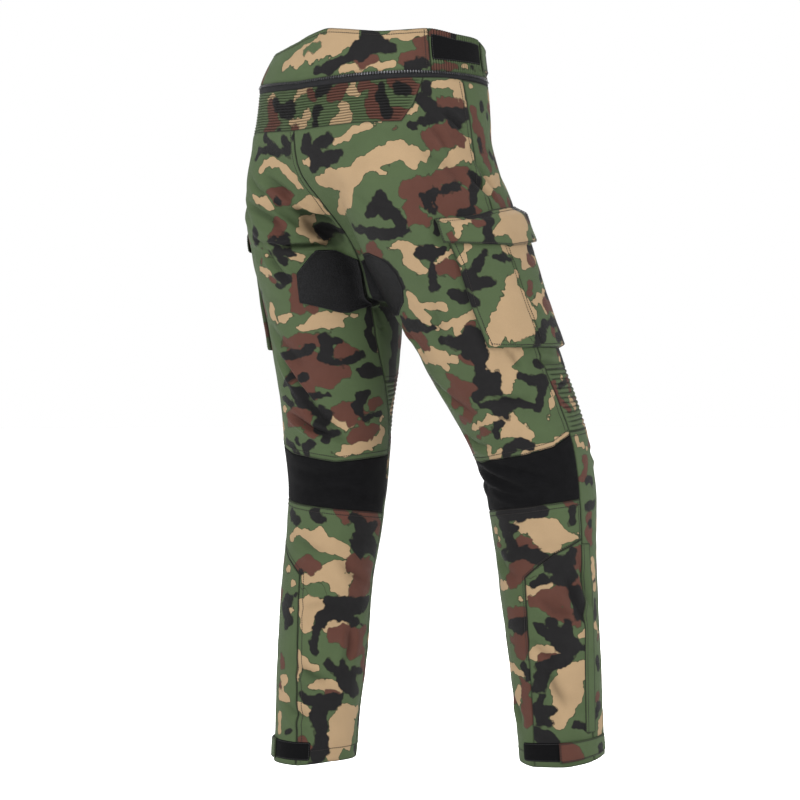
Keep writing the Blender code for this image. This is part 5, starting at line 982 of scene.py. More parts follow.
def crease_lines():
    lines = []
    for side, points, depth, width, bulge in CREASES:
        z = np.array([p[0] for p in points], float)
        way = np.array([p[1] for p in points], float)
        at = np.linspace(0, len(points) - 1, 4 * (len(points) - 1) + 1)
        z, way = np.interp(at, range(len(points)), z), np.interp(at, range(len(points)), way)
        way = way + turn(side, z)
        line, out, _ = bare(side, way, z)
        lines.append((side, line, out, depth, width, bulge))
    return lines


CREASE_LINES = crease_lines()


def creased(side, P):
    """How far out the creases move these points of the form."""
    flat = P.reshape(-1, 3)
    moved = np.zeros(len(flat))
    for on, line, out, depth, width, bulge in CREASE_LINES:
        reach = 4.0 * width
        near = ((flat > line.min(0) - reach) & (flat < line.max(0) + reach)).all(-1)
        if side == "B":
            near &= (flat[:, 0] < 0) == (on == "R")
        elif on != side:
            continue
        k = np.flatnonzero(near)
        if not len(k):
            continue
        p = flat[k]
        a, ab = line[:-1], line[1:] - line[:-1]
        t = np.clip(((p[:, None] - a) * ab).sum(-1) / (ab * ab).sum(-1), 0, 1)
        gap = p[:, None] - (a + t[..., None] * ab)
        size = np.linalg.norm(gap, axis=-1)
        j = size.argmin(-1)
        rows = np.arange(len(p))
        away, along = size[rows, j], (j + t[rows, j]) / len(a)
        across = np.cross(ab[j], out[:-1][j])
        across /= np.linalg.norm(across, axis=-1, keepdims=True)
        s = (gap[rows, j] * across).sum(-1) / width
        rest = np.sqrt(np.maximum(away**2 / width**2 - s * s, 0))
        end = np.sin(pi * np.clip(along, 0.02, 0.98)) ** 0.55 * np.exp(-(rest**2))
        trough = np.exp(-np.abs(s) ** 1.5 * 1.1)
        side_bulge = bulge * np.exp(-(((np.abs(s) - 1.7) / 0.85) ** 2)) * np.where(s > 0, 1.0, 0.55)
        moved[k] += 2.1 * depth * end * (trough - 0.62 * side_bulge)
    return moved.reshape(P.shape[:-1])


def waves(P, size, seed=0.0, stretch=(1.0, 1.0, 1.0)):
    """Smooth noise in -1 to 1 with waves of about that size."""
    q = (P.reshape(-1, 3) * np.array(stretch) / size + seed).tolist()
    return np.array([noise.noise(Vector(p)) for p in q]).reshape(P.shape[:-1])


def hang(g):
    """Creases and slow waves of the worn cloth, the same for pieces that meet or lie on each other. The middle seam stays put, and
    the waistband holds its line more than the legs."""
    folds = creased(g.side, g.P)
    moved = folds + 0.0020 * waves(g.P, 0.075, 3.1, (1.0, 1.0, 0.75)) + 0.0007 * waves(g.P, 0.026, 8.7)
    near = np.clip(np.abs(g.P[..., 0]) / 0.014, 0, 1)
    moved = moved * np.where(g.P[..., 2] > CROTCH_Z - 0.03, near * near * (3 - 2 * near), 1.0)
    g.depths = 0.55 * np.clip((-folds - 0.0010) / 0.0075, 0, 1) ** 1.2      # painted shade: the folds' hollows are darkened as shade would fall in them
    return moved * np.interp(g.P[..., 2], [-0.115, -0.045], [1.0, 0.42])


# ---------------------------------------------------------------- materials

class Look:
    """A node material under construction."""

    def __init__(self, name, base, rough, slot_colour=None):
        self.material = bpy.data.materials.new(name)
        self.material.use_nodes = True
        self.tree = self.material.node_tree
        self.shader = self.tree.nodes["Principled BSDF"]
        self.shader.inputs["Base Color"].default_value = (*base, 1.0)
        self.shader.inputs["Roughness"].default_value = rough
        self.material.diffuse_color = (*base, 1.0)

    def node(self, kind, inputs=(), **settings):
        made = self.tree.nodes.new("ShaderNode" + kind)
        for key, value in settings.items():
            setattr(made, key, value)
        for key, value in dict(inputs).items():
            if isinstance(value, bpy.types.NodeSocket):
                self.tree.links.new(value, made.inputs[key])
            else:
                made.inputs[key].default_value = value
        return made

    def math(self, operation, a, b=0.0, c=0.0, clamp=False):
        return self.node("Math", {0: a, 1: b, 2: c}, operation=operation, use_clamp=clamp).outputs[0]

    def vector(self, operation, a, b=(0.0, 0.0, 0.0), scale=None):
        inputs = {0: a, 1: b}
        if scale is not None:
            inputs["Scale"] = scale
        return self.node("VectorMath", inputs, operation=operation).outputs[0]

    def mix(self, factor, a, b):
        made = self.node("Mix", (), data_type="RGBA")
        for socket, value in ((made.inputs[0], factor), (made.inputs[6], a), (made.inputs[7], b)):
            if isinstance(value, bpy.types.NodeSocket):
                self.tree.links.new(value, socket)
            else:
                socket.default_value = value
        return made.outputs[2]

    def noise(self, at, scale, detail=0.0, rough=0.5, out="Fac", lacunarity=2.0):
        return self.node("TexNoise", {"Vector": at, "Scale": scale, "Detail": detail, "Roughness": rough, "Lacunarity": lacunarity}).outputs[out]

    def step(self, value, low, high):
        return self.node("MapRange", {"Value": value, "From Min": low, "From Max": high}, interpolation_type="SMOOTHSTEP").outputs[0]

    def into(self, socket, value):
        self.tree.links.new(value, self.shader.inputs[socket])

    def bump(self, height, distance, strength=1.0, under=None):
        inputs = {"Height": height, "Distance": distance, "Strength": strength}
        if under is not None:
            inputs["Normal"] = under
        return self.node("Bump", inputs).outputs[0]

    def uv(self):
        return self.node("UVMap", (), uv_map="metres").outputs[0]


def rgb(r, g, b):
    """A colour given as it shows on a screen, 0 to 255."""
    return tuple((c / 255 / 12.92 if c / 255 <= 0.04045 else ((c / 255 + 0.055) / 1.055) ** 2.4) for c in (r, g, b)) + (1.0,)


LIGHT = 2.45      # how bright the studio's light makes a white cloth


def ink(r, g, b):
    """A dye's own colour, from how it shows in the studio's light."""
    return tuple(c / LIGHT for c in rgb(r, g, b)[:3]) + (1.0,)


TAN, GREEN, BROWN, BLACK, RIM = ink(183, 155, 119), ink(79, 96, 63), ink(94, 57, 46), ink(20, 19, 20), ink(36, 32, 22)


def weave(look, uv, pitch, deep):
    """Bump of a plain weave of fat yarns: two crossed waves."""
    parts = look.node("SeparateXYZ", {0: uv}).outputs
    k = 2 * pi / pitch
    a = look.math("SINE", look.math("MULTIPLY", parts[0], k))
    b = look.math("SINE", look.math("MULTIPLY", parts[1], k))
    height = look.math("MULTIPLY", a, b)
    return look.bump(height, deep)


def camouflage(name):
    """Woodland print in its own metres on a coated oxford weave."""
    look = Look(name, TAN[:3], 0.6)
    uv = look.uv()
    flat = look.vector("MULTIPLY", uv, (1.0, 1.0, 0.0))

    def over(colour, name, tint, seed, coarse=0.015, fine=0.0050):
        """Lays a colour where its strokes are, with jagged edges and a thin dark rim where the dyes overlap."""
        inside = look.node("Attribute", (), attribute_name=name, attribute_type="GEOMETRY").outputs["Fac"]
        at = look.vector("ADD", flat, (seed, seed * 0.7, 0.0))
        edge = look.math("MULTIPLY", look.math("SUBTRACT", look.noise(at, 62.0), 0.5), coarse)
        edge = look.math("MULTIPLY_ADD", look.math("SUBTRACT", look.noise(at, 175.0), 0.5), fine, edge)
        value = look.math("ADD", inside, edge)
        mask = look.step(value, -0.0003, 0.0003)
        rim = look.math("MULTIPLY", look.math("SUBTRACT", look.step(value, -0.0015, -0.0007), mask, clamp=True), 0.6)
        return look.mix(mask, look.mix(rim, colour, RIM), tint)

    colour = over(GREEN, "print_tan", TAN, 4.2)
    colour = over(colour, "print_green", GREEN, 9.1)
    colour = over(colour, "print_brown", BROWN, 1.7)
    colour = over(colour, "print_black", BLACK, 6.3, 0.0125, 0.0045)

    # dye that took unevenly, and the yarns' own lights and darks
    cloud = look.noise(flat, 22.0, 2.0, 0.55)
    yarn = look.noise(look.vector("MULTIPLY", uv, (1.0, 0.22, 0.0)), 1900.0, 0.0)
    yarn_down = look.noise(look.vector("MULTIPLY", uv, (0.22, 1.0, 0.0)), 1900.0, 0.0)
    shade = look.math("ADD", look.math("MULTIPLY_ADD", cloud, 0.20, 0.75), look.math("MULTIPLY", look.math("ADD", yarn, yarn_down), 0.15))
    # painted shade: this attribute darkens the print along seam edges, in rib and gather channels and in fold hollows
    painted_shade = look.node("Attribute", (), attribute_name="painted_shade", attribute_type="GEOMETRY").outputs["Fac"]
    shade = look.math("MULTIPLY", shade, look.math("MULTIPLY_ADD", painted_shade, -0.84, 1.0, clamp=True))
    hsv = look.node("HueSaturation", {"Color": colour, "Value": shade, "Saturation": 1.0})
    look.into("Base Color", hsv.outputs[0])
    look.into("Roughness", look.math("MULTIPLY_ADD", look.noise(flat, 60.0, 1.0), 0.16, 0.66))
    look.into("Normal", weave(look, uv, 0.0011, 0.00012))
    look.shader.inputs["Specular IOR Level"].default_value = 0.12
    look.shader.inputs["Sheen Weight"].default_value = 0.01
    look.shader.inputs["Sheen Roughness"].default_value = 0.5
    return look.material


def reverse_side():
    """The coated back of the cloth, which shows inside the waist and the hems."""
    look = Look("cloth_reverse", (0.035, 0.036, 0.034), 0.7)
    uv = look.uv()
    cloud = look.noise(uv, 40.0, 2.0)
    look.into("Base Color", look.mix(cloud, (0.010, 0.0104, 0.0098, 1), (0.018, 0.018, 0.0168, 1)))
    look.into("Normal", weave(look, uv, 0.0012, 0.00010))
    look.shader.inputs["Sheen Weight"].default_value = 0.1
    return look.material


def black_stretch():
    """Matt ribbed stretch cloth: fine wales down the leg."""
    look = Look("stretch_cloth", (0.006, 0.006, 0.007), 0.85)
    uv = look.uv()
    parts = look.node("SeparateXYZ", {0: uv}).outputs
    wales = look.math("SINE", look.math("MULTIPLY", parts[0], 2 * pi / 0.0016))
    courses = look.math("MULTIPLY", look.math("SINE", look.math("MULTIPLY", parts[1], 2 * pi / 0.0009)), 0.4)
    cloud = look.noise(uv, 70.0, 2.0)
    look.into("Base Color", look.mix(cloud, (0.0012, 0.0012, 0.0014, 1), (0.0030, 0.0030, 0.0034, 1)))
    look.into("Normal", look.bump(look.math("ADD", wales, courses), 0.00012))
    look.shader.inputs["Sheen Weight"].default_value = 0.008
    look.shader.inputs["Specular IOR Level"].default_value = 0.05
    return look.material


def grip_cloth():
    """Pebbled black grip cloth: small raised cells with a soft gloss."""
    look = Look("grip_cloth", (0.020, 0.020, 0.022), 0.55)
    uv = look.uv()
    cells = look.node("TexVoronoi", {"Vector": uv, "Scale": 620.0, "Smoothness": 0.35}, feature="SMOOTH_F1").outputs["Distance"]
    grain = look.noise(uv, 1500.0, 1.0)
    cloud = look.noise(uv, 28.0, 2.0)
    # painted shade: the low ground between the raised cells is darkened
    cell_groove_shade = look.math("MULTIPLY_ADD", look.step(cells, 0.20, 0.62), -0.75, 1.05)
    base = look.mix(cloud, (0.0038, 0.0038, 0.0043, 1), (0.0068, 0.0068, 0.0076, 1))
    look.into("Base Color", look.node("HueSaturation", {"Color": base, "Value": cell_groove_shade}).outputs[0])
    height = look.math("ADD", look.math("MULTIPLY", cells, -1.0), look.math("MULTIPLY", grain, 0.25))
    look.into("Normal", look.bump(height, 0.0006))
    look.into("Roughness", look.math("MULTIPLY_ADD", grain, 0.2, 0.46))
    look.shader.inputs["Specular IOR Level"].default_value = 0.09
    return look.material


def pile(name, base, deep):
    """Hook and loop: a short matted pile."""
    look = Look(name, base, 0.95)
    uv = look.uv()
    tufts = look.noise(uv, 900.0, 3.0, 0.7)
    mats = look.noise(uv, 160.0, 2.0)
    bright = tuple(min(1.0, c * 1.9) for c in base)
    look.into("Base Color", look.mix(look.math("MULTIPLY", tufts, mats), (*base, 1), (*bright, 1)))
    look.into("Normal", look.bump(look.math("ADD", tufts, look.math("MULTIPLY", mats, 0.6)), deep))
    look.shader.inputs["Sheen Weight"].default_value = 0.012
    look.shader.inputs["Sheen Roughness"].default_value = 0.6
    look.shader.inputs["Specular IOR Level"].default_value = 0.03
    return look.material


def tape():
    """Woven zip tape: fine ribs along it."""
    look = Look("zip_tape_weave", (0.012, 0.012, 0.013), 0.75)
    uv = look.uv()
    parts = look.node("SeparateXYZ", {0: uv}).outputs
    ribs = look.math("SINE", look.math("MULTIPLY", parts[1], 2 * pi / 0.0011))
    chevrons = look.math("SINE", look.math("MULTIPLY", look.math("ADD", parts[0], parts[1]), 2 * pi / 0.0014))
    cloud = look.noise(uv, 120.0, 1.0)
    look.into("Base Color", look.mix(cloud, (0.0035, 0.0035, 0.0040, 1), (0.0080, 0.0080, 0.0090, 1)))
    look.into("Normal", look.bump(look.math("ADD", ribs, look.math("MULTIPLY", chevrons, 0.5)), 0.00012))
    look.shader.inputs["Specular IOR Level"].default_value = 0.12
    return look.material


def metal(name, base, rough, worn):
    look = Look(name, base, rough)
    at = look.node("TexCoord").outputs["Object"]
    scuffs = look.noise(at, 900.0, 3.0, 0.6)
    look.into("Base Color", look.mix(look.step(scuffs, 0.42, 0.66), (*base, 1), (*worn, 1)))
    look.into("Roughness", look.math("MULTIPLY_ADD", scuffs, 0.25, rough - 0.1))
    look.into("Normal", look.bump(scuffs, 0.00004))
    look.shader.inputs["Metallic"].default_value = 1.0
    return look.material


def thread(name, base):
    """Twisted sewing thread."""
    look = Look(name, base, 0.6)
    at = look.node("TexCoord").outputs["Object"]
    twist = look.noise(at, 2600.0, 1.0)
    light = tuple(min(1.0, c * 2.2 + 0.01) for c in base)
    look.into("Base Color", look.mix(twist, (*base, 1), (*light, 1)))
    look.into("Normal", look.bump(twist, 0.00008))
    look.shader.inputs["Specular IOR Level"].default_value = 0.12
    return look.material


CAMO_BACK = camouflage("camouflage_back_print")
CAMO_FRONT = CAMO_BACK.copy()
CAMO_FRONT.name = "camouflage_front_print"
REVERSE = reverse_side()
STRETCH = black_stretch()
GRIPPY = grip_cloth()
LOOP = pile("loop_pile", (0.0016, 0.0016, 0.0018), 0.0005)
TAPE = tape()
TEETH = metal("zip_teeth_metal", (0.032, 0.032, 0.035), 0.30, (0.17, 0.17, 0.175))
SNAP = metal("snap_metal_satin", (0.10, 0.10, 0.11), 0.32, (0.24, 0.24, 0.25))
THREAD = thread("thread_dark", (0.0034, 0.0025, 0.0020))
THREAD_BLACK = thread("thread_black", (0.0028, 0.0028, 0.0030))

# ---------------------------------------------------------------- the print's strokes as fields on the pieces

SPREAD = {"T": 1.14, "G": 1.05, "B": 1.22, "K": 1.25}      # how far each dye runs past its stroke
LAID_FACING = np.array([-0.72, 0.69, 0.0])      # the side whose print was laid out in the listed strokes: the wearer's back and right


# How strokes are carried to the far sides: height and direction as share and start, whether to the other leg only, and the least gap.
CARRIED = (
    (-1, -1.020, -1, 8.0, True, -0.016),
    (1, -0.030, 1, 6.0, True, -0.016),
    (-1, -0.990, 1, -176.0, False, -0.011),
    (1, 0.060, -1, -20.0, False, -0.011),
    (1, -0.110, 1, -130.0, False, -0.011),
    (-1, -0.900, -1, -60.0, False, -0.011),
    (1, 0.135, 1, -95.0, False, -0.011),
    (-1, -1.110, 1, -150.0, False, -0.011),
    (1, 0.240, -1, -100.0, False, -0.011),
    (-1, -0.750, -1, 60.0, False, -0.011),
)


def laid_strokes():
    """Each piece's own strokes, and for the far sides the same strokes turned or moved to where there is room for them."""
    own, spare, laid, points_on = {}, {"R": [], "L": []}, [], {"R": [], "L": []}
    for (name, side), strokes in PRINT.items():
        for colour, points in strokes:
            sides = [p[3] if len(p) > 3 else side for p in points]
            z, way, r = (np.array([p[k] for p in points], float) for k in range(3))
            r = r / 1000
            at = [bare(s, w + turn(s, h), h) for s, w, h in zip(sides, way, z)]
            line, reach = np.array([a[0] for a in at]), float(np.mean([a[2] for a in at]))
            r = r * SPREAD[colour] + 0.0006
            own.setdefault(name, []).append((colour, line, r))
            over = name.startswith("cargo")
            for s in (() if over else set(sides)):
                points_on[s].append(np.column_stack([line, r, np.full(len(r), ord(colour))]))
            if not (len(set(sides)) > 1 or over or name.startswith("waistband_side")):
                laid.append((side, colour, z, way, r, reach))
    laid.sort(key=lambda s: -(np.linalg.norm(np.diff(np.column_stack([s[2], np.radians(s[3]) * s[5]]), axis=0), axis=1).sum() + 3 * s[4].mean()))
    for dh, h0, dw, w0, across, least in CARRIED:
        for side, colour, z, way, r, reach in laid:
            for other in ("RL".replace(side, "") if across else "RL"):
                h, w = dh * z + h0, dw * way + w0
                if h.max() > 0.04 or h.min() < -1.05 or w.min() < -190 or w.max() > 200:
                    continue
                w = w + turn(other, h)
                front, back = limits(other, h)
                if (w < front - 3).any() or (w > back + 3).any():
                    continue
                p, out, wide = bare(other, w, h)
                if (out @ LAID_FACING).max() > 0.28:
                    continue
                r2 = 1.10 * r * float(np.clip(wide.mean() / reach, 0.9, 1.15))
                near = np.concatenate(points_on[other])
                gap = np.linalg.norm(p[:, None] - near[:, :3], axis=-1) - r2[:, None] - near[:, 3]
                if (gap < np.where(near[:, 4] == ord(colour), 0.009, least)).any():
                    continue
                points_on[other].append(np.column_stack([p, r2, np.full(len(r), ord(colour))]))
                spare[other].append((colour, p, r2))
    return own, spare


OWN_STROKES, SPARE_STROKES = laid_strokes()


def inked(P, strokes, found):
    """Raises each colour's field at points P: how far inside its strokes a point lies, in metres."""
    for colour, line, r in strokes:
        reach = r.max() + 0.016
        k = np.flatnonzero(((P > line.min(0) - reach) & (P < line.max(0) + reach)).all(-1))
        if not len(k):
            continue
        p = P[k]
        if len(line) == 1:
            inside = r[0] - np.linalg.norm(p - line[0], axis=-1)
        else:
            a, ab = line[:-1], line[1:] - line[:-1]
            t = np.clip(((p[:, None] - a) * ab).sum(-1) / np.maximum((ab * ab).sum(-1), 1e-9), 0, 1)
            away = np.linalg.norm(p[:, None] - (a + t[..., None] * ab), axis=-1)
            inside = (r[:-1] * (1 - t) + r[1:] * t - away).max(-1)
        found[colour][k] = np.maximum(found[colour][k], inside)


def print_fields(name, g):
    P = g.P.reshape(-1, 3)
    found = {colour: np.full(len(P), -0.016) for colour in "TGBK"}
    inked(P, OWN_STROKES.get(name, ()), found)
    shifted = P + np.array([0.0, 0.0, 0.022 * sin(1.7 * len(name) + ord(name[0]))])
    for side in ("RL" if g.side == "B" else g.side):
        inked(shifted, SPARE_STROKES[side], found)
    return found


# ---------------------------------------------------------------- making the pieces

MADE = {}


def piece(name, g, thickness, look, lift=0.0, extra=0.0, painted_shade=0.0, roll=(1, 1, 1, 1), turned=0.0, moved=(0.0, 0.0), split=None,
          inside=None):
    """A named piece of cloth: its outer face as a fine grid, then a Solidify modifier inward. It replaces the solid of its name."""
    drop = 0.0
    for edge, amount in zip(("top", "foot", "back", "front"), roll):
        drop = drop + amount * 0.0013 * np.clip(1 - g.far[edge] / 0.0034, 0, 1) ** 2
    out = g.P + g.N * (thickness + lift + extra - drop + hang(g))[..., None]
    g.out, g.out_n = out, normals(out, g.flip)
    MADE[name] = g
    rows, cols = out.shape[:2]
    faces = quads(rows, cols)
    faces = faces if g.flip else faces[:, ::-1]
    mesh = bpy.data.meshes.new(name)
    mesh.from_pydata(out.reshape(-1, 3).tolist(), [], faces.tolist())
    mesh.polygons.foreach_set("use_smooth", np.ones(len(faces), bool))
    c, s = cos(radians(turned)), sin(radians(turned))
    U, V = (g.U if g.side != "L" else -g.U).ravel(), -g.V.ravel()
    u, v = U * c - V * s + moved[0], U * s + V * c + moved[1]
    corners = faces.ravel()
    uv = np.stack([u[corners], v[corners]], -1)
    if split is not None:
        beyond = np.repeat((np.arange(rows - 1)[:, None] * 0 + np.arange(cols - 1) >= split).ravel(), 4)
        uv[beyond] += np.array([0.37, 0.21])
    mesh.uv_layers.new(name="metres").data.foreach_set("uv", uv.astype(np.float32).ravel())
    if look in (CAMO_BACK, CAMO_FRONT):
        fields = print_fields(name, g)
        # painted shade: a dark band along every edge of the piece, joined with the channels' and folds' painted shade
        edges = 0.0
        for edge in ("top", "foot", "back", "front"):
            edges = np.maximum(edges, 0.85 * np.exp(-((g.far[edge] / 0.0016) ** 2)))
        layers = {"print_tan": fields["T"], "print_green": fields["G"], "print_brown": fields["B"], "print_black": fields["K"],
                  "painted_shade": np.maximum(np.maximum(edges, painted_shade), g.depths).ravel()}
        for layer, values in layers.items():
            mesh.attributes.new(layer, "FLOAT", "POINT").data.foreach_set("value", values.astype(np.float32))
    mesh.update()
    obj = bpy.data.objects.new(name + "_cloth", mesh)
    bpy.context.scene.collection.objects.link(obj)
    obj.data.materials.append(look)
    obj.data.materials.append(inside or REVERSE)
    shell = obj.modifiers.new("thickness", "SOLIDIFY")
    shell.thickness = thickness
    shell.offset = -1.0
    shell.use_rim = True
    shell.material_offset = 1
    shell.material_offset_rim = 0
    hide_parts(name)
    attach(obj, "root")
    wide, tall = float(run(out, 1)[:, -1].max()), float(run(out, 0)[-1].max())
    wide, tall = max(wide, 0.0102), max(tall, 0.0102)
    return g


STITCHES = {}


def beside(name, edge, inset):
    """A line on a piece's outer face, a given distance in from one of its edges, with the face's directions."""
    g = MADE[name]
    X, N = (g.out, g.out_n) if edge in ("back", "front") else (g.out.swapaxes(0, 1), g.out_n.swapaxes(0, 1))
    if edge in ("front", "foot"):
        X, N = X[:, ::-1], N[:, ::-1]
    far = run(X, 1)
    k = np.clip((far < inset).sum(1), 1, X.shape[1] - 1)
    rows = np.arange(len(X))
    t = ((inset - far[rows, k - 1]) / np.maximum(far[rows, k] - far[rows, k - 1], 1e-9))[:, None]
    return X[rows, k - 1] * (1 - t) + X[rows, k] * t, N[rows, k - 1] * (1 - t) + N[rows, k] * t


def spaced(line, out, pitch, trim=(0.0, 0.0)):
    """Places, directions along and directions out, evenly spaced on a line."""
    at = run(line[:, None], 0)[:, 0]
    total = at[-1] - sum(trim)
    n = int(total / pitch)
    if n < 1:
        return np.zeros((0, 3)), np.zeros((0, 3)), np.zeros((0, 3))
    s = trim[0] + (np.arange(n) + 0.5) * total / n
    p, q, r = (np.stack([np.interp(s + d, at, line[:, c]) for c in range(3)], -1) for d in (0, -pitch / 2, pitch / 2))
    o = np.stack([np.interp(s, at, out[:, c]) for c in range(3)], -1)
    t = r - q
    return p, t / np.linalg.norm(t, axis=-1, keepdims=True), o / np.linalg.norm(o, axis=-1, keepdims=True)


def sew(group, name, edge, insets, trim=(0.002, 0.002), pitch=0.0034):
    for inset in insets:
        line, out = beside(name, edge, inset)
        STITCHES.setdefault(group, []).append(spaced(line, out, pitch, trim))


def sew_line(group, line, out, pitch=0.0034):
    STITCHES.setdefault(group, []).append(spaced(line, out, pitch))


RING = [(0.0, 0.00062, 0.00012), (0.0, 0.0, 0.00060), (0.0, -0.00062, 0.00012), (0.0, 0.0, -0.00020)]


def stitch_shape(half):
    """One stitch: two rings and two sunk tips."""
    points = [(-half, 0, -0.00030)] + [(-half * 0.62, y, z) for _, y, z in RING] + [(half * 0.62, y, z) for _, y, z in RING] + [(half, 0, -0.00030)]
    faces = [(0, 1 + (k + 1) % 4, 1 + k) for k in range(4)]
    faces += [(1 + k, 1 + (k + 1) % 4, 5 + (k + 1) % 4, 5 + k) for k in range(4)]
    faces += [(9, 5 + k, 5 + (k + 1) % 4) for k in range(4)]
    return np.array(points, float), faces


def copies(name, shape, places, look, jitter=0.0, smooth=True):
    """One joined mesh of a small shape at many places: its x runs along, its z out."""
    points, faces = shape
    p, t, o = (np.concatenate([place_[k] for place_ in places]) for k in range(3))
    side = np.cross(o, t)
    side /= np.linalg.norm(side, axis=-1, keepdims=True)
    o = np.cross(t, side)
    if jitter:
        angle = np.random.default_rng(len(p)).normal(0, jitter, len(p))[:, None]
        t, side = t * np.cos(angle) + side * np.sin(angle), side * np.cos(angle) - t * np.sin(angle)
    verts = (p[:, None] + points[:, 0:1] * t[:, None] + points[:, 1:2] * side[:, None] + points[:, 2:3] * o[:, None]).reshape(-1, 3)
    all_faces = [tuple(k * len(points) + i for i in face) for k in range(len(p)) for face in faces]
    mesh = bpy.data.meshes.new(name)
    mesh.from_pydata(verts.tolist(), [], all_faces)
    mesh.polygons.foreach_set("use_smooth", np.full(len(all_faces), smooth))
    mesh.update()
    obj = bpy.data.objects.new(name, mesh)
    bpy.context.scene.collection.objects.link(obj)
    obj.data.materials.append(look)
    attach(obj, "root")
    return obj


def seam_line(rows, side):
    return lambda z: table(rows, z) + turn(side, z)


def level(rows, side):
    about = rows[0][1]
    return lambda way: table(rows, way - turn(side, about))


def flat(z):
    return lambda way: np.full(np.shape(way), z)


def back_top(way):
    slant = sorted((w, z) for z, w in STRETCH_END)
    climb = np.minimum(np.interp(way, [r[0] for r in slant], [r[1] for r in slant]), table(TAPE_FOOT, way))
    return np.where(way > slant[-1][0], table(STRETCH_FOOT, way), np.where(way < slant[0][0], table(TAPE_FOOT, way), climb))


def band_top(side):
    return lambda way: band(bare(side, way, np.full(np.shape(way), 0.01))[0], "top")


def puckers(g, edges, amount=0.0005, size=0.0075):
    """Small ripples that the sewing draws up, dying out within a centimetre of the seams."""
    near = 0.0
    for edge in edges:
        near = np.maximum(near, np.exp(-((g.far[edge] / 0.0085) ** 2)))
    return amount * near * waves(g.P, size, 21.0)


def ribs(T, count, height, wander):
    """Rounded ribs across a panel, stitched down between, and the painted shade of the stitched channels."""
    wave = np.abs(np.sin(pi * (T + wander) * count))
    return -height * (1 - wave**0.8), 0.95 * np.exp(-((wave / 0.46) ** 2))


# ---------------------------------------------------------------- the garment

OVERLAY = CLOTH + 0.0003      # a piece that lies on a panel


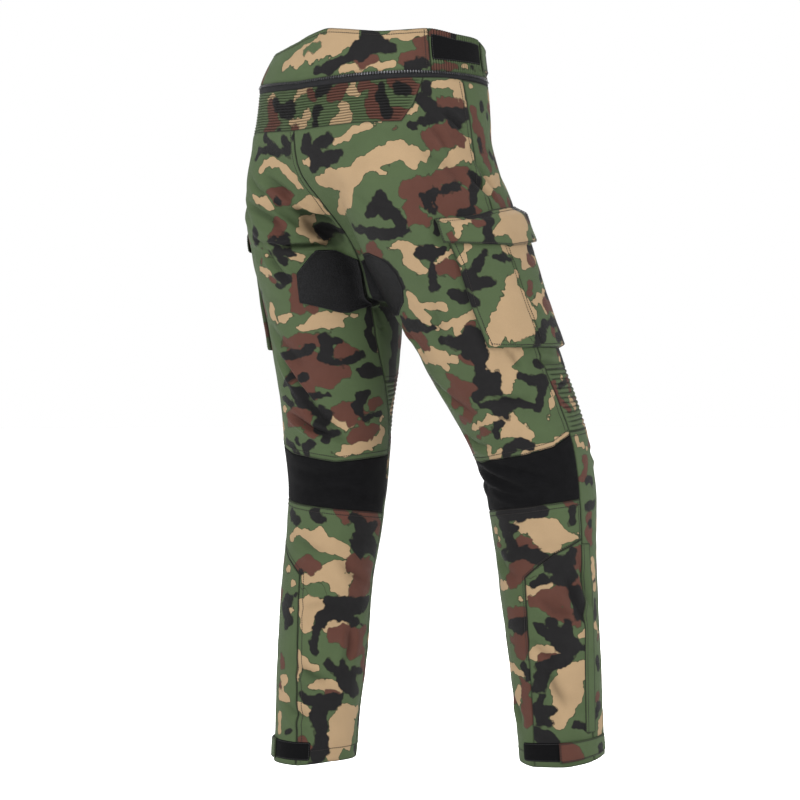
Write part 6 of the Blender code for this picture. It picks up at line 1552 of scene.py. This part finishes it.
def dress_side(side):
    back_edge = lambda z: limits(side, z)[1]
    front_edge = lambda z: limits(side, z)[0]
    side_seam, calf_seam = seam_line(SIDE_SEAM, side), seam_line(CALF_SEAM, side)
    line = lambda rows: seam_line(rows, side)
    S = lambda name: f"{name}_{side}"
    shift = 0.0 if side == "R" else 3.13
    group = f"stitching_{side}"
    back_gaps = (2 * SEAM, SEAM / 2, MIDDLE_GAP, SEAM / 2)
    front_gaps = (SEAM / 2, SEAM / 2, SEAM / 2, MIDDLE_GAP)

    # upper back leg panel
    knee_top, knee_foot = level(KNEE_BACK_TOP, side), level(KNEE_BACK_FOOT, side)
    accordion_top, accordion_foot = level(ACCORDION_TOP, side), level(ACCORDION_FOOT, side)
    corners = [float((back_edge(z) - w) / (back_edge(z) - side_seam(z))) for z, w in STRETCH_END[::-1]]
    across_back = np.array([*BACK_SHARES, *corners, *BACK_LAST])
    inner = (*MIDDLE_BACK, CROTCH_Z, *INSEAM_UPPER, -0.468, -0.512, -0.556)
    outer = (*SIDE_UPPER, -0.452, *SIDE_KNEE, -0.541)
    g = grid(side, back_edge, side_seam, back_top, knee_top, across_back, (inner, outer), back_gaps)
    piece(S("back"), g, CLOTH, CAMO_BACK, extra=puckers(g, ("back", "front", "foot")), turned=-8, moved=(0.31 + shift, 0.18))
    # double rows on both sides of the middle seam, along the side seam and above the knee
    if side == "L":
        sew(group, S("back"), "back", (0.0016, 0.0080), trim=(0.002, 0.36))
    sew(group, S("back"), "front", (0.0016, 0.0080), trim=(0.004, 0.010))
    sew(group, S("back"), "foot", (0.0022, 0.0085))
    sew(group, S("back"), "back", (0.0020,), trim=(0.30, 0.004))

    # upper front leg panel
    across_front = np.array(FRONT_SHARES)
    tape_foot = lambda way: table(TAPE_FOOT, way)
    inner = (*MIDDLE_FRONT, CROTCH_Z, *INSEAM_UPPER)
    g = grid(side, side_seam, front_edge, tape_foot, accordion_top, across_front, (SIDE_UPPER, inner), front_gaps)
    piece(S("front"), g, CLOTH, CAMO_FRONT, extra=puckers(g, ("back", "front", "foot", "top")), turned=6, moved=(1.27 + shift, 0.74))
    sew(group, S("front"), "top", (0.0020,))
    sew(group, S("front"), "foot", (0.0020, 0.0085))
    if side == "R":
        sew(group, S("front"), "front", (0.0018,), trim=(0.002, 0.12))

    # knee accordion
    g = grid(side, side_seam, front_edge, accordion_top, accordion_foot, across_front, np.linspace(0, 1, KNEE_RIBS + 1), ALL_ROUND, cell=(1.0, 0.30))
    wander = 0.012 * waves(g.P, 0.030, 5.0)
    held = np.clip(np.minimum(g.far["back"], g.far["front"]) / 0.012, 0.08, 1) * np.clip(np.minimum(g.far["top"], g.far["foot"]) / 0.0030, 0.0, 1)
    # painted shade in the channels between the knee ribs
    height, channel_painted_shade = ribs(g.T, KNEE_RIBS, 0.0022, wander)
    piece(S("knee_accordion"), g, CLOTH, CAMO_FRONT, extra=height * held, painted_shade=channel_painted_shade * held, turned=3,
          moved=(2.11 + shift, 1.62))

    # back-knee stretch panel
    g = grid(side, back_edge, side_seam, knee_top, knee_foot, across_back, ((-0.607, -0.636), (-0.577, -0.609)), ALL_ROUND)
    piece(S("knee_back"), g, CLOTH, STRETCH, extra=puckers(g, ("top", "foot"), 0.0006, 0.009))

    # lower leg
    hem = level(HEM, side)
    outer = (-0.545, -0.577, -0.609, -0.640, *SIDE_CALF, *SIDE_LOWER)
    inner = (-0.578, -0.607, -0.636, -0.665, -0.690, -0.720, *SIDE_LOWER)
    g = grid(side, side_seam, front_edge, accordion_foot, hem, across_front, (outer, inner))
    piece(S("shin_front"), g, CLOTH, CAMO_FRONT, extra=puckers(g, ("back", "top", "front")), roll=(1, 0.3, 1, 1), turned=-4,
          moved=(3.31 + shift, 2.17))
    sew(group, S("shin_front"), "foot", (0.0200,))
    sew(group, S("shin_front"), "top", (0.0022, 0.0085))
    outer = (-0.669, *[z for z, _ in CALF_SEAM[1:6]], -0.776, *SIDE_LOWER[1:])
    inner = (-0.678, -0.692, -0.706, -0.720, -0.736, -0.754, -0.776, *SIDE_LOWER[1:])
    g = grid(side, back_edge, calf_seam, knee_foot, hem, np.linspace(0, 1, 9), (inner, outer))
    piece(S("calf_back"), g, CLOTH, CAMO_BACK, extra=puckers(g, ("back", "front", "top")), roll=(1, 0.3, 1, 1), turned=-24 if side == "R" else 22,
          moved=(4.47 + shift, 3.29))
    sew(group, S("calf_back"), "foot", (0.0200,))
    sew(group, S("calf_back"), "top", (0.0022, 0.0085))
    if side == "L":
        sew(group, S("calf_back"), "front", (0.0018, 0.0085), trim=(0.004, 0.004))
    else:
        sew(group, S("calf_back"), "front", (0.0018, 0.0050), trim=(0.004, 0.16))
    slant = sorted((w, z) for z, w in CALF_SEAM[1:6])
    side_top = lambda way: np.interp(way - turn(side, -0.72), [r[0] for r in slant], [r[1] for r in slant])
    across = np.array([1 - w / slant[-1][0] for w, _ in slant[::-1]])
    inner = (-0.776, *SIDE_LOWER[1:])
    g = grid(side, line(CALF_SEAM[5:]), side_seam, side_top, hem, across, (inner, SIDE_LOWER))
    piece(S("calf_side"), g, CLOTH, CAMO_BACK, extra=puckers(g, ("back", "front", "top")), roll=(1, 0.3, 0.4, 1), turned=31 if side == "R" else -17,
          moved=(5.29 + shift, 4.61))
    sew(group, S("calf_side"), "foot", (0.0200,))
    sew(group, S("calf_side"), "top", (0.0020,))

    # storm flap: sewn down behind, its front edge free
    storm_back, storm_front = line([(-0.70, 2.0), (-0.79, 3.0), (-0.85, 6.0), (-0.99, 13.0)]), line([(-0.70, -11.0), (-0.79, -11.0), (-0.85, -9.0), (-0.99, -3.0)])
    g = grid(side, storm_back, storm_front, flat(-0.706), flat(-0.986), np.linspace(0, 1, 3), np.linspace(0, 1, 9))
    free = 0.0013 * np.clip(1 - g.far["front"] / 0.008, 0, 1)
    piece(S("leg_flap"), g, CLOTH, CAMO_BACK, lift=OVERLAY, extra=free, roll=(1.5, 1.5, 2.0, 0.2), turned=31 if side == "R" else -17,
          moved=(5.31 + shift, 4.66))
    sew(group, S("leg_flap"), "back", (0.0018, 0.0060))

    # hem strip and tab
    strip_top, strip_foot = (lambda way: table([(-30.0, -0.995), (107.0, -1.003)], way)), (lambda way: table([(-30.0, -1.019), (50.0, -1.028), (107.0, -1.030)], way))
    g = grid(side, line([(-1.0, 106.0)]), line([(-1.0, 32.0)]), strip_top, strip_foot, np.linspace(0, 1, 6), np.linspace(0, 1, 3), cell=(0.7, 0.6))
    piece(S("hem_loop"), g, WEBBING, LOOP, lift=OVERLAY, roll=(1.2, 1.2, 1.2, 1.2), inside=LOOP)
    sew(f"stitching_black_{side}", S("hem_loop"), "top", (0.0022,))
    sew(f"stitching_black_{side}", S("hem_loop"), "foot", (0.0022,))
    sew(f"stitching_black_{side}", S("hem_loop"), "back", (0.0022,))
    tab_top, tab_foot = (lambda way: table([(-30.0, -0.990), (50.0, -1.000)], way)), (lambda way: table([(-30.0, -1.016), (50.0, -1.030)], way))
    g = grid(side, line([(-1.0, 50.0)]), line([(-1.0, -34.0)]), tab_top, tab_foot, np.array([0, 0.10, 0.2, 0.3, 0.42, 0.6, 0.8, 1.0]), np.linspace(0, 1, 3), cell=(0.7, 0.6))
    rise = OVERLAY + (WEBBING + 0.0006) * np.clip((0.42 - g.S) / 0.12, 0, 1)
    piece(S("hem_tab"), g, CLOTH, CAMO_FRONT, lift=rise, roll=(0.8, 0.8, 0.5, 1.6), turned=75, moved=(6.21 + shift, 5.13),
          inside=LOOP)
    sew(group, S("hem_tab"), "top", (0.0024,))
    sew(group, S("hem_tab"), "foot", (0.0024,))
    sew(group, S("hem_tab"), "back", (0.0024,))
    sew(group, S("hem_tab"), "front", (0.0024,))

    # cargo pocket: bellows and a stitched line down its face
    heights = [r[0] for r in POCKET_ENDS][::-1]
    pocket_back = lambda z: np.interp(z, heights, [r[1] for r in POCKET_ENDS][::-1]) + turn(side, z)
    pocket_front = lambda z: np.interp(z, heights, [r[2] for r in POCKET_ENDS][::-1]) + turn(side, z)
    mouth = lambda way: table(FLAP_TOP, way) - 0.017
    bellows = lambda s: POCKET_DEPTH * (0.62 + 0.38 * np.clip(s / 0.3, 0, 1))
    walls = np.array([0.0, 0.003, 0.006, 0.009, 0.012, 0.018])
    across = np.concatenate([walls, [0.15, 0.30, 0.47, 0.62, 0.78], 1 - walls[::-1]])
    down = np.concatenate([[0.0, 0.25, 0.5, 0.75], 1 - walls[::-1] * 0.7])
    g = grid(side, pocket_back, pocket_front, mouth, flat(POCKET_FOOT), across, down, (0.0,) * 4)
    rise = np.minimum(np.minimum(g.S, 1 - g.S) / 0.013, (1 - g.T) / 0.010)
    rise = np.sin(pi / 2 * np.clip(rise, 0, 1)) ** 0.8
    groove = -0.0014 * np.exp(-(((g.S - 0.47) * 0.17 / 0.0022) ** 2))
    face = bellows(g.S) * (0.92 + 0.08 * np.sin(pi * g.T)) + groove + 0.0009 * waves(g.P, 0.030, 14.0)
    lift = 0.0006 + (face - CLOTH) * rise + 0.0006
    k = int(np.abs(g.marks - 0.47).argmin())
    piece(S("cargo_pocket"), g, CLOTH, CAMO_BACK, lift=lift, roll=(0, 0.4, 0.4, 0.4), turned=62, moved=(7.43 + shift, 6.02), split=k)
    made = MADE[S("cargo_pocket")]
    for j, off in ((k - 1, 0.0), (k + 1, 0.0)):
        sew_line(group, made.out[2:-6, j], made.out_n[2:-6, j])
    sew(group, S("cargo_pocket"), "back", (0.0115,), trim=(0.004, 0.010))
    sew(group, S("cargo_pocket"), "foot", (0.0115,), trim=(0.012, 0.012))

    g = grid(side, line([(-0.23, 43.0)]), line([(-0.23, -58.0)]), lambda way: table(FLAP_TOP, way), lambda way: table(FLAP_FOOT, way),
             np.linspace(0, 1, 9), np.array([0.0, 0.15, 0.30, 0.65, 1.0]))
    near, outer_face = OVERLAY, bellows(g.S) + CLOTH + FLAP_OVER
    t = np.clip(g.T / 0.30, 0, 1)
    lift = near + (outer_face - near) * t * t * (3 - 2 * t) + 0.004 * g.T * np.clip((g.S - 0.55) / 0.45, 0, 1) + 0.0011 * g.T * waves(g.P, 0.024, 4.0)
    piece(S("cargo_flap"), g, CLOTH, CAMO_FRONT, lift=lift, roll=(1.6, 0.9, 0.9, 0.9), turned=12, moved=(8.37 + shift, 7.71),
          inside=LOOP)
    sew(group, S("cargo_flap"), "top", (0.0022, 0.0085))
    sew(group, S("cargo_flap"), "foot", (0.0026,))
    sew(group, S("cargo_flap"), "back", (0.0026,))
    sew(group, S("cargo_flap"), "front", (0.0026,))

    # seat patch
    rows = PATCH[side]
    heights = [r[0] for r in rows][::-1]
    outer = lambda z: np.interp(z, heights, [r[1] for r in rows][::-1])
    inner = lambda z: np.minimum(np.interp(z, heights, [r[2] for r in rows][::-1]), limits(side, z)[1] - 0.15)
    down = np.array([(r[0] - rows[0][0]) / (rows[-1][0] - rows[0][0]) for r in rows])
    g = grid(side, inner, outer, flat(rows[0][0]), flat(rows[-1][0]), np.linspace(0, 1, 8), down)
    piece(S("seat_patch"), g, GRIP, GRIPPY, lift=OVERLAY, roll=(1.5, 1.5, 1.5, 1.5))
    for edge in ("top", "foot", "back", "front"):
        sew(f"stitching_black_{side}", S("seat_patch"), edge, (0.0030,))

    # waistband
    teeth = lambda way: table(TEETH_LINE, way)
    top = band_top(side)
    open_top = (0.0, SEAM / 2, SEAM / 2, SEAM / 2)
    g = grid(side, line([(0.0, ELASTIC[0])]), line([(0.0, ELASTIC[1])]), top, teeth, np.linspace(0, 1, 6), np.linspace(0, 1, 4), open_top, cell=(0.17, 0.55))
    across = g.far["back"] + 0.0006 * waves(g.P, 0.010, 2.0)
    wave = np.abs(np.sin(pi * across / 0.0042))
    flatter = np.clip(1 - 0.55 * np.exp(-(((g.T - 0.48) / 0.24) ** 2)), 0, 1) * np.clip(np.minimum(g.far["back"], g.far["front"]) / 0.004, 0, 1)
    gathers = 0.0019 * wave**0.7 * flatter * np.clip(g.far["foot"] / 0.0035, 0.2, 1)
    # painted shade in the valleys between the gathers
    piece(S("waistband_side"), g, CLOTH, CAMO_BACK, extra=gathers - 0.0006, painted_shade=0.9 * np.exp(-((wave / 0.45) ** 2)) * flatter, roll=(0.5, 0.8, 0.8, 0.8), moved=(9.23 + shift, 8.41))
    g = grid(side, line([(0.0, ELASTIC[1])]), front_edge, top, teeth, np.linspace(0, 1, 8), np.linspace(0, 1, 4), open_top)
    piece(S("waistband_front"), g, CLOTH, CAMO_FRONT, extra=puckers(g, ("top", "foot"), 0.0004), roll=(0.6, 0.8, 1, 0.6), moved=(10.3 + shift, 9.37))
    sew(group, S("waistband_front"), "top", (0.0055,))
    sew(group, S("waistband_front"), "back", (0.0020, 0.0070))
    sew(group, S("waistband_front"), "foot", (0.0030,))
    g = grid(side, line([(0.0, 22.5)]), line([(0.0, -31.0)]), lambda way: top(way) - 0.0075, flat(-0.012), np.linspace(0, 1, 6), np.linspace(0, 1, 3), cell=(0.7, 0.6))
    piece(S("waist_loop"), g, WEBBING, LOOP, lift=OVERLAY, roll=(1.2,) * 4, inside=LOOP)
    for edge in ("top", "foot", "back"):
        sew(f"stitching_black_{side}", S("waist_loop"), edge, (0.0022,))
    g = grid(side, line([(0.0, -32.5)]), line([(0.0, -66.0)]), lambda way: top(way) - 0.002, flat(-0.020), np.linspace(0, 1, 6), np.linspace(0, 1, 3), cell=(0.7, 0.6))
    piece(S("waist_tab"), g, CLOTH, CAMO_FRONT, lift=OVERLAY + 0.0004, roll=(0.8, 0.8, 0.2, 1.4), turned=10, moved=(11.1 + shift, 10.2),
          inside=LOOP)
    for edge in ("top", "foot", "back", "front"):
        sew(group, S("waist_tab"), edge, (0.0026,))


def dress_middle():
    teeth, tape_foot = (lambda way: table(TEETH_LINE, way)), (lambda way: table(TAPE_FOOT, way))
    back_edge = lambda side: (lambda z: limits(side, z)[1])
    open_top = (0.0, SEAM / 2, 0.0, SEAM / 2)
    g = grid_over_middle(lambda side, like: grid(side, back_edge(side), lambda z: np.full(np.shape(z), ELASTIC[0]), band_top(side), teeth, np.linspace(0, 1, 8),
                                                 np.linspace(0, 1, 4), open_top, like=like))
    piece("waistband_back", g, CLOTH, CAMO_BACK, extra=puckers(g, ("top", "foot", "back", "front"), 0.0004), roll=(0.6, 0.8, 1, 1),
          moved=(12.2, 11.3), turned=-14)
    sew("stitching_R", "waistband_back", "top", (0.0060,))
    sew("stitching_R", "waistband_back", "front", (0.0018, 0.0070))
    sew("stitching_L", "waistband_back", "back", (0.0018, 0.0070))

    g = grid_over_middle(lambda side, like: grid(side, back_edge(side), lambda z: limits(side, z)[0], teeth, tape_foot, np.linspace(0, 1, 17),
                                                 np.array([0.0, 0.34, 0.67, 1.0]), (SEAM / 2, SEAM / 2, 0.0, SEAM / 2), cell=(1.0, 0.6), like=like))
    bow = 0.0006 * np.sin(pi * g.T)
    piece("connection_zip", g, WEBBING, TAPE, extra=bow + 0.0004 * waves(g.P, 0.020, 9.0), roll=(0.2, 1.0, 0.4, 0.4), inside=TAPE)
    slant = sorted(STRETCH_END)
    end = lambda z: np.interp(z, [r[0] for r in slant], [r[1] for r in slant])
    g = grid_over_middle(lambda side, like: grid(side, back_edge(side), end, tape_foot, lambda way: table(STRETCH_FOOT, way), np.linspace(0, 1, 6),
                                                 np.linspace(0, 1, BACK_RIBS + 1), (3 * SEAM, SEAM, 0.0, SEAM / 2), cell=(0.9, 0.24), like=like))
    wander = 0.010 * waves(g.P, 0.016, 5.0) + 0.010 * waves(g.P, 0.045, 15.0)
    held = np.clip(np.minimum(g.far["back"], g.far["front"]) / 0.008, 0.05, 1) * np.clip(np.minimum(g.far["top"], g.far["foot"]) / 0.0030, 0.0, 1)
    # painted shade in the channels between the back ribs
    height, channel_painted_shade = ribs(g.T, BACK_RIBS, 0.0028, wander)
    piece("back_stretch", g, CLOTH, CAMO_BACK, extra=height * held + 0.0006 * waves(g.P, 0.012, 12.0), painted_shade=channel_painted_shade * held,
          moved=(13.1, 12.9), turned=4)


def dress_front():
    width = lambda z: np.interp(z, [-0.205, -0.190, -0.165, -0.03], [0.010, 0.024, 0.034, 0.034])
    fly_edge = lambda z: limits("L", z)[0] + np.degrees(width(z) / bare("L", limits("L", z)[0] + 8, z)[2])
    fly_middle = lambda z: limits("L", z)[0] + 0.4
    g = grid("L", fly_edge, fly_middle, flat(-0.0405), flat(-0.204), np.linspace(0, 1, 4), np.array([0, 0.2, 0.4, 0.6, 0.77, 0.92, 1.0]))
    piece("fly_flap", g, CLOTH, CAMO_FRONT, lift=OVERLAY, roll=(1.2, 1.5, 1.2, 0.3), moved=(14.2, 13.3))
    sew("stitching_L", "fly_flap", "back", (0.0024, 0.0085))
    sew("stitching_L", "fly_flap", "front", (0.0026,))
    sew("stitching_L", "fly_flap", "foot", (0.0024,))
    halves = {}
    for side, reach in (("L", 0.034), ("R", 0.026)):
        far = (lambda side, reach: lambda z: limits(side, z)[0] + np.degrees(reach / 0.155))(side, reach)
        near = (lambda side: lambda z: limits(side, z)[0])(side)
        halves[side] = grid(side, far, near, flat(0.0045), flat(-0.023), np.linspace(0, 1, 4), np.linspace(0, 1, 3), (0.0,) * 4, cell=(0.6, 0.6), like=halves.get("L"))
    left, right = halves["L"], halves["R"]
    g = Grid()
    g.side, g.flip = "B", False
    middle, up = (left.P[:, -1:] + right.P[:, -1:]) / 2, left.N[:, -1:] + right.N[:, -1:]
    middle[..., 0], up[..., 0] = 0.0, 0.0
    up /= np.linalg.norm(up, axis=-1, keepdims=True)
    g.P = np.concatenate([left.P[:, :-1], middle, right.P[:, -2::-1]], 1)
    g.N = np.concatenate([left.N[:, :-1], up, right.N[:, -2::-1]], 1)
    g.measure()
    piece("waist_fastening", g, CLOTH, CAMO_FRONT, lift=OVERLAY + 0.0003, roll=(1.0,) * 4, moved=(15.3, 14.1), turned=15)
    for edge in ("top", "foot", "back", "front"):
        sew("stitching_L", "waist_fastening", edge, (0.0026,))


def turned_piece(name, profile, at, look):
    """A turned piece that faces the front: radius and height out along its axis."""
    n = 40
    angle = np.arange(n) * 2 * pi / n
    points = [(r * cos(a), -h, r * sin(a)) for r, h in profile for a in angle]
    m = len(profile)
    faces = [(i * n + k, i * n + (k + 1) % n, (i + 1) * n + (k + 1) % n, (i + 1) * n + k) for i in range(m - 1) for k in range(n)]
    faces += [tuple(range((m - 1) * n, m * n)), tuple(range(n))[::-1]]
    mesh = bpy.data.meshes.new(name)
    mesh.from_pydata([(x + at[0], y + at[1], z + at[2]) for x, y, z in points], [], faces)
    mesh.polygons.foreach_set("use_smooth", np.ones(len(faces), bool))
    mesh.update()
    mesh.set_sharp_from_angle(angle=radians(40))
    obj = bpy.data.objects.new(name, mesh)
    bpy.context.scene.collection.objects.link(obj)
    obj.data.materials.append(look)
    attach(obj, "root")
    return obj


dress_middle()
for which in "RL":
    dress_side(which)
dress_front()

STITCH = stitch_shape(0.00158)
for group, places in STITCHES.items():
    copies(group, STITCH, places, THREAD_BLACK if "black" in group else THREAD, jitter=0.07)

# zip teeth along the upper edge of the tape: tapered blocks, each with a shoulder
TOOTH = (np.array([(x * a, y, z * a) for a, y in ((1.0, -0.0017), (0.85, 0.0006), (0.6, 0.0024)) for x, z in ((-0.00105, -0.0004), (0.00105, -0.0004), (0.00105, 0.0016), (-0.00105, 0.0016))]),
         [(0, 3, 2, 1)] + [(4 * k + i, 4 * k + (i + 1) % 4, 4 * k + 4 + (i + 1) % 4, 4 * k + 4 + i) for k in (0, 1) for i in range(4)] + [(8, 9, 10, 11)])
line, out = beside("connection_zip", "top", 0.0019)
p, t, o = spaced(line, out, 0.0041, (0.004, 0.004))
copies("zip_teeth", TOOTH, [(p, t, o)], TEETH, smooth=False)

snap_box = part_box("waist_snap")
front_y = float(snap_box[1].y)
snap = turned_piece("waist_snap_cap", [(0.0076, 0.0), (0.0078, 0.0006), (0.0077, 0.0013), (0.0070, 0.0018), (0.0058, 0.0016), (0.0050, 0.0017), (0.0046, 0.0022), (0.0030, 0.0025), (0.0008, 0.0026)],
                    (SNAP_X, front_y, SNAP_Z), SNAP)
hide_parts("waist_snap")

# ---------------------------------------------------------------- studio, lights and camera


def plain(name, colour, rough):
    made = bpy.data.materials.new(name)
    made.use_nodes = True
    shader = made.node_tree.nodes["Principled BSDF"]
    shader.inputs["Base Color"].default_value = (*colour, 1.0)
    shader.inputs["Roughness"].default_value = rough
    return made


mesh = bpy.data.meshes.new("floor")
mesh.from_pydata([(-40, -40, -1.075), (40, -40, -1.075), (40, 40, -1.075), (-40, 40, -1.075)], [], [(0, 1, 2, 3)])
floor = bpy.data.objects.new("floor", mesh)
bpy.context.scene.collection.objects.link(floor)
floor.data.materials.append(plain("floor_pale", (0.96, 0.96, 0.96), 0.9))
pale = floor.data.materials[0].node_tree.nodes["Principled BSDF"]
pale.inputs["Emission Color"].default_value = (1.0, 1.0, 1.0, 1.0)
pale.inputs["Emission Strength"].default_value = 0.35

world = bpy.data.worlds.new("studio")
bpy.context.scene.world = world
world.use_nodes = True
world.node_tree.nodes["Background"].inputs["Color"].default_value = (1.0, 1.0, 1.0, 1.0)
world.node_tree.nodes["Background"].inputs["Strength"].default_value = 1.0


def lamp(name, at, towards, size, power, colour=(1.0, 1.0, 1.0)):
    data = bpy.data.lights.new(name, "AREA")
    data.shape = "RECTANGLE"
    data.size, data.size_y = size
    data.energy = power
    data.color = colour
    obj = bpy.data.objects.new(name, data)
    bpy.context.scene.collection.objects.link(obj)
    obj.location = at
    obj.rotation_euler = (Vector(towards) - Vector(at)).to_track_quat("-Z", "Y").to_euler()
    return obj


# camera at the photograph's side: behind the wearer's right, level with the knees' upper edge
EYE = Vector((-2.905, 2.750, -0.4955))
AHEAD = Vector((0.7193, -0.6947, 0.0))
lamp("key", (-0.30, 3.0, 1.3), (0.0, 0.0, -0.5), (1.4, 1.8), 150)
lamp("side", (-3.2, -0.5, 0.5), (0.0, 0.0, -0.5), (1.4, 1.8), 90)
lamp("front", (2.4, -2.4, 0.9), (0.0, 0.0, -0.5), (1.4, 1.8), 110)
lamp("top", (-0.6, 0.4, 3.0), (0.0, 0.0, -0.4), (2.0, 2.0), 50)

camera = bpy.data.cameras.new("camera")
camera.sensor_width = 36.0
camera.lens = 121.5
camera.clip_end = 200.0
eye = bpy.data.objects.new("camera", camera)
bpy.context.scene.collection.objects.link(eye)
eye.location = EYE
eye.rotation_euler = AHEAD.to_track_quat("-Z", "Y").to_euler()
bpy.context.scene.camera = eye
bpy.context.scene.view_settings.view_transform = "Standard"
bpy.context.scene.view_settings.look = "None"
bpy.context.scene.view_settings.exposure = 0.0
bpy.context.scene.view_settings.gamma = 1.0

bpy.context.view_layer.update()
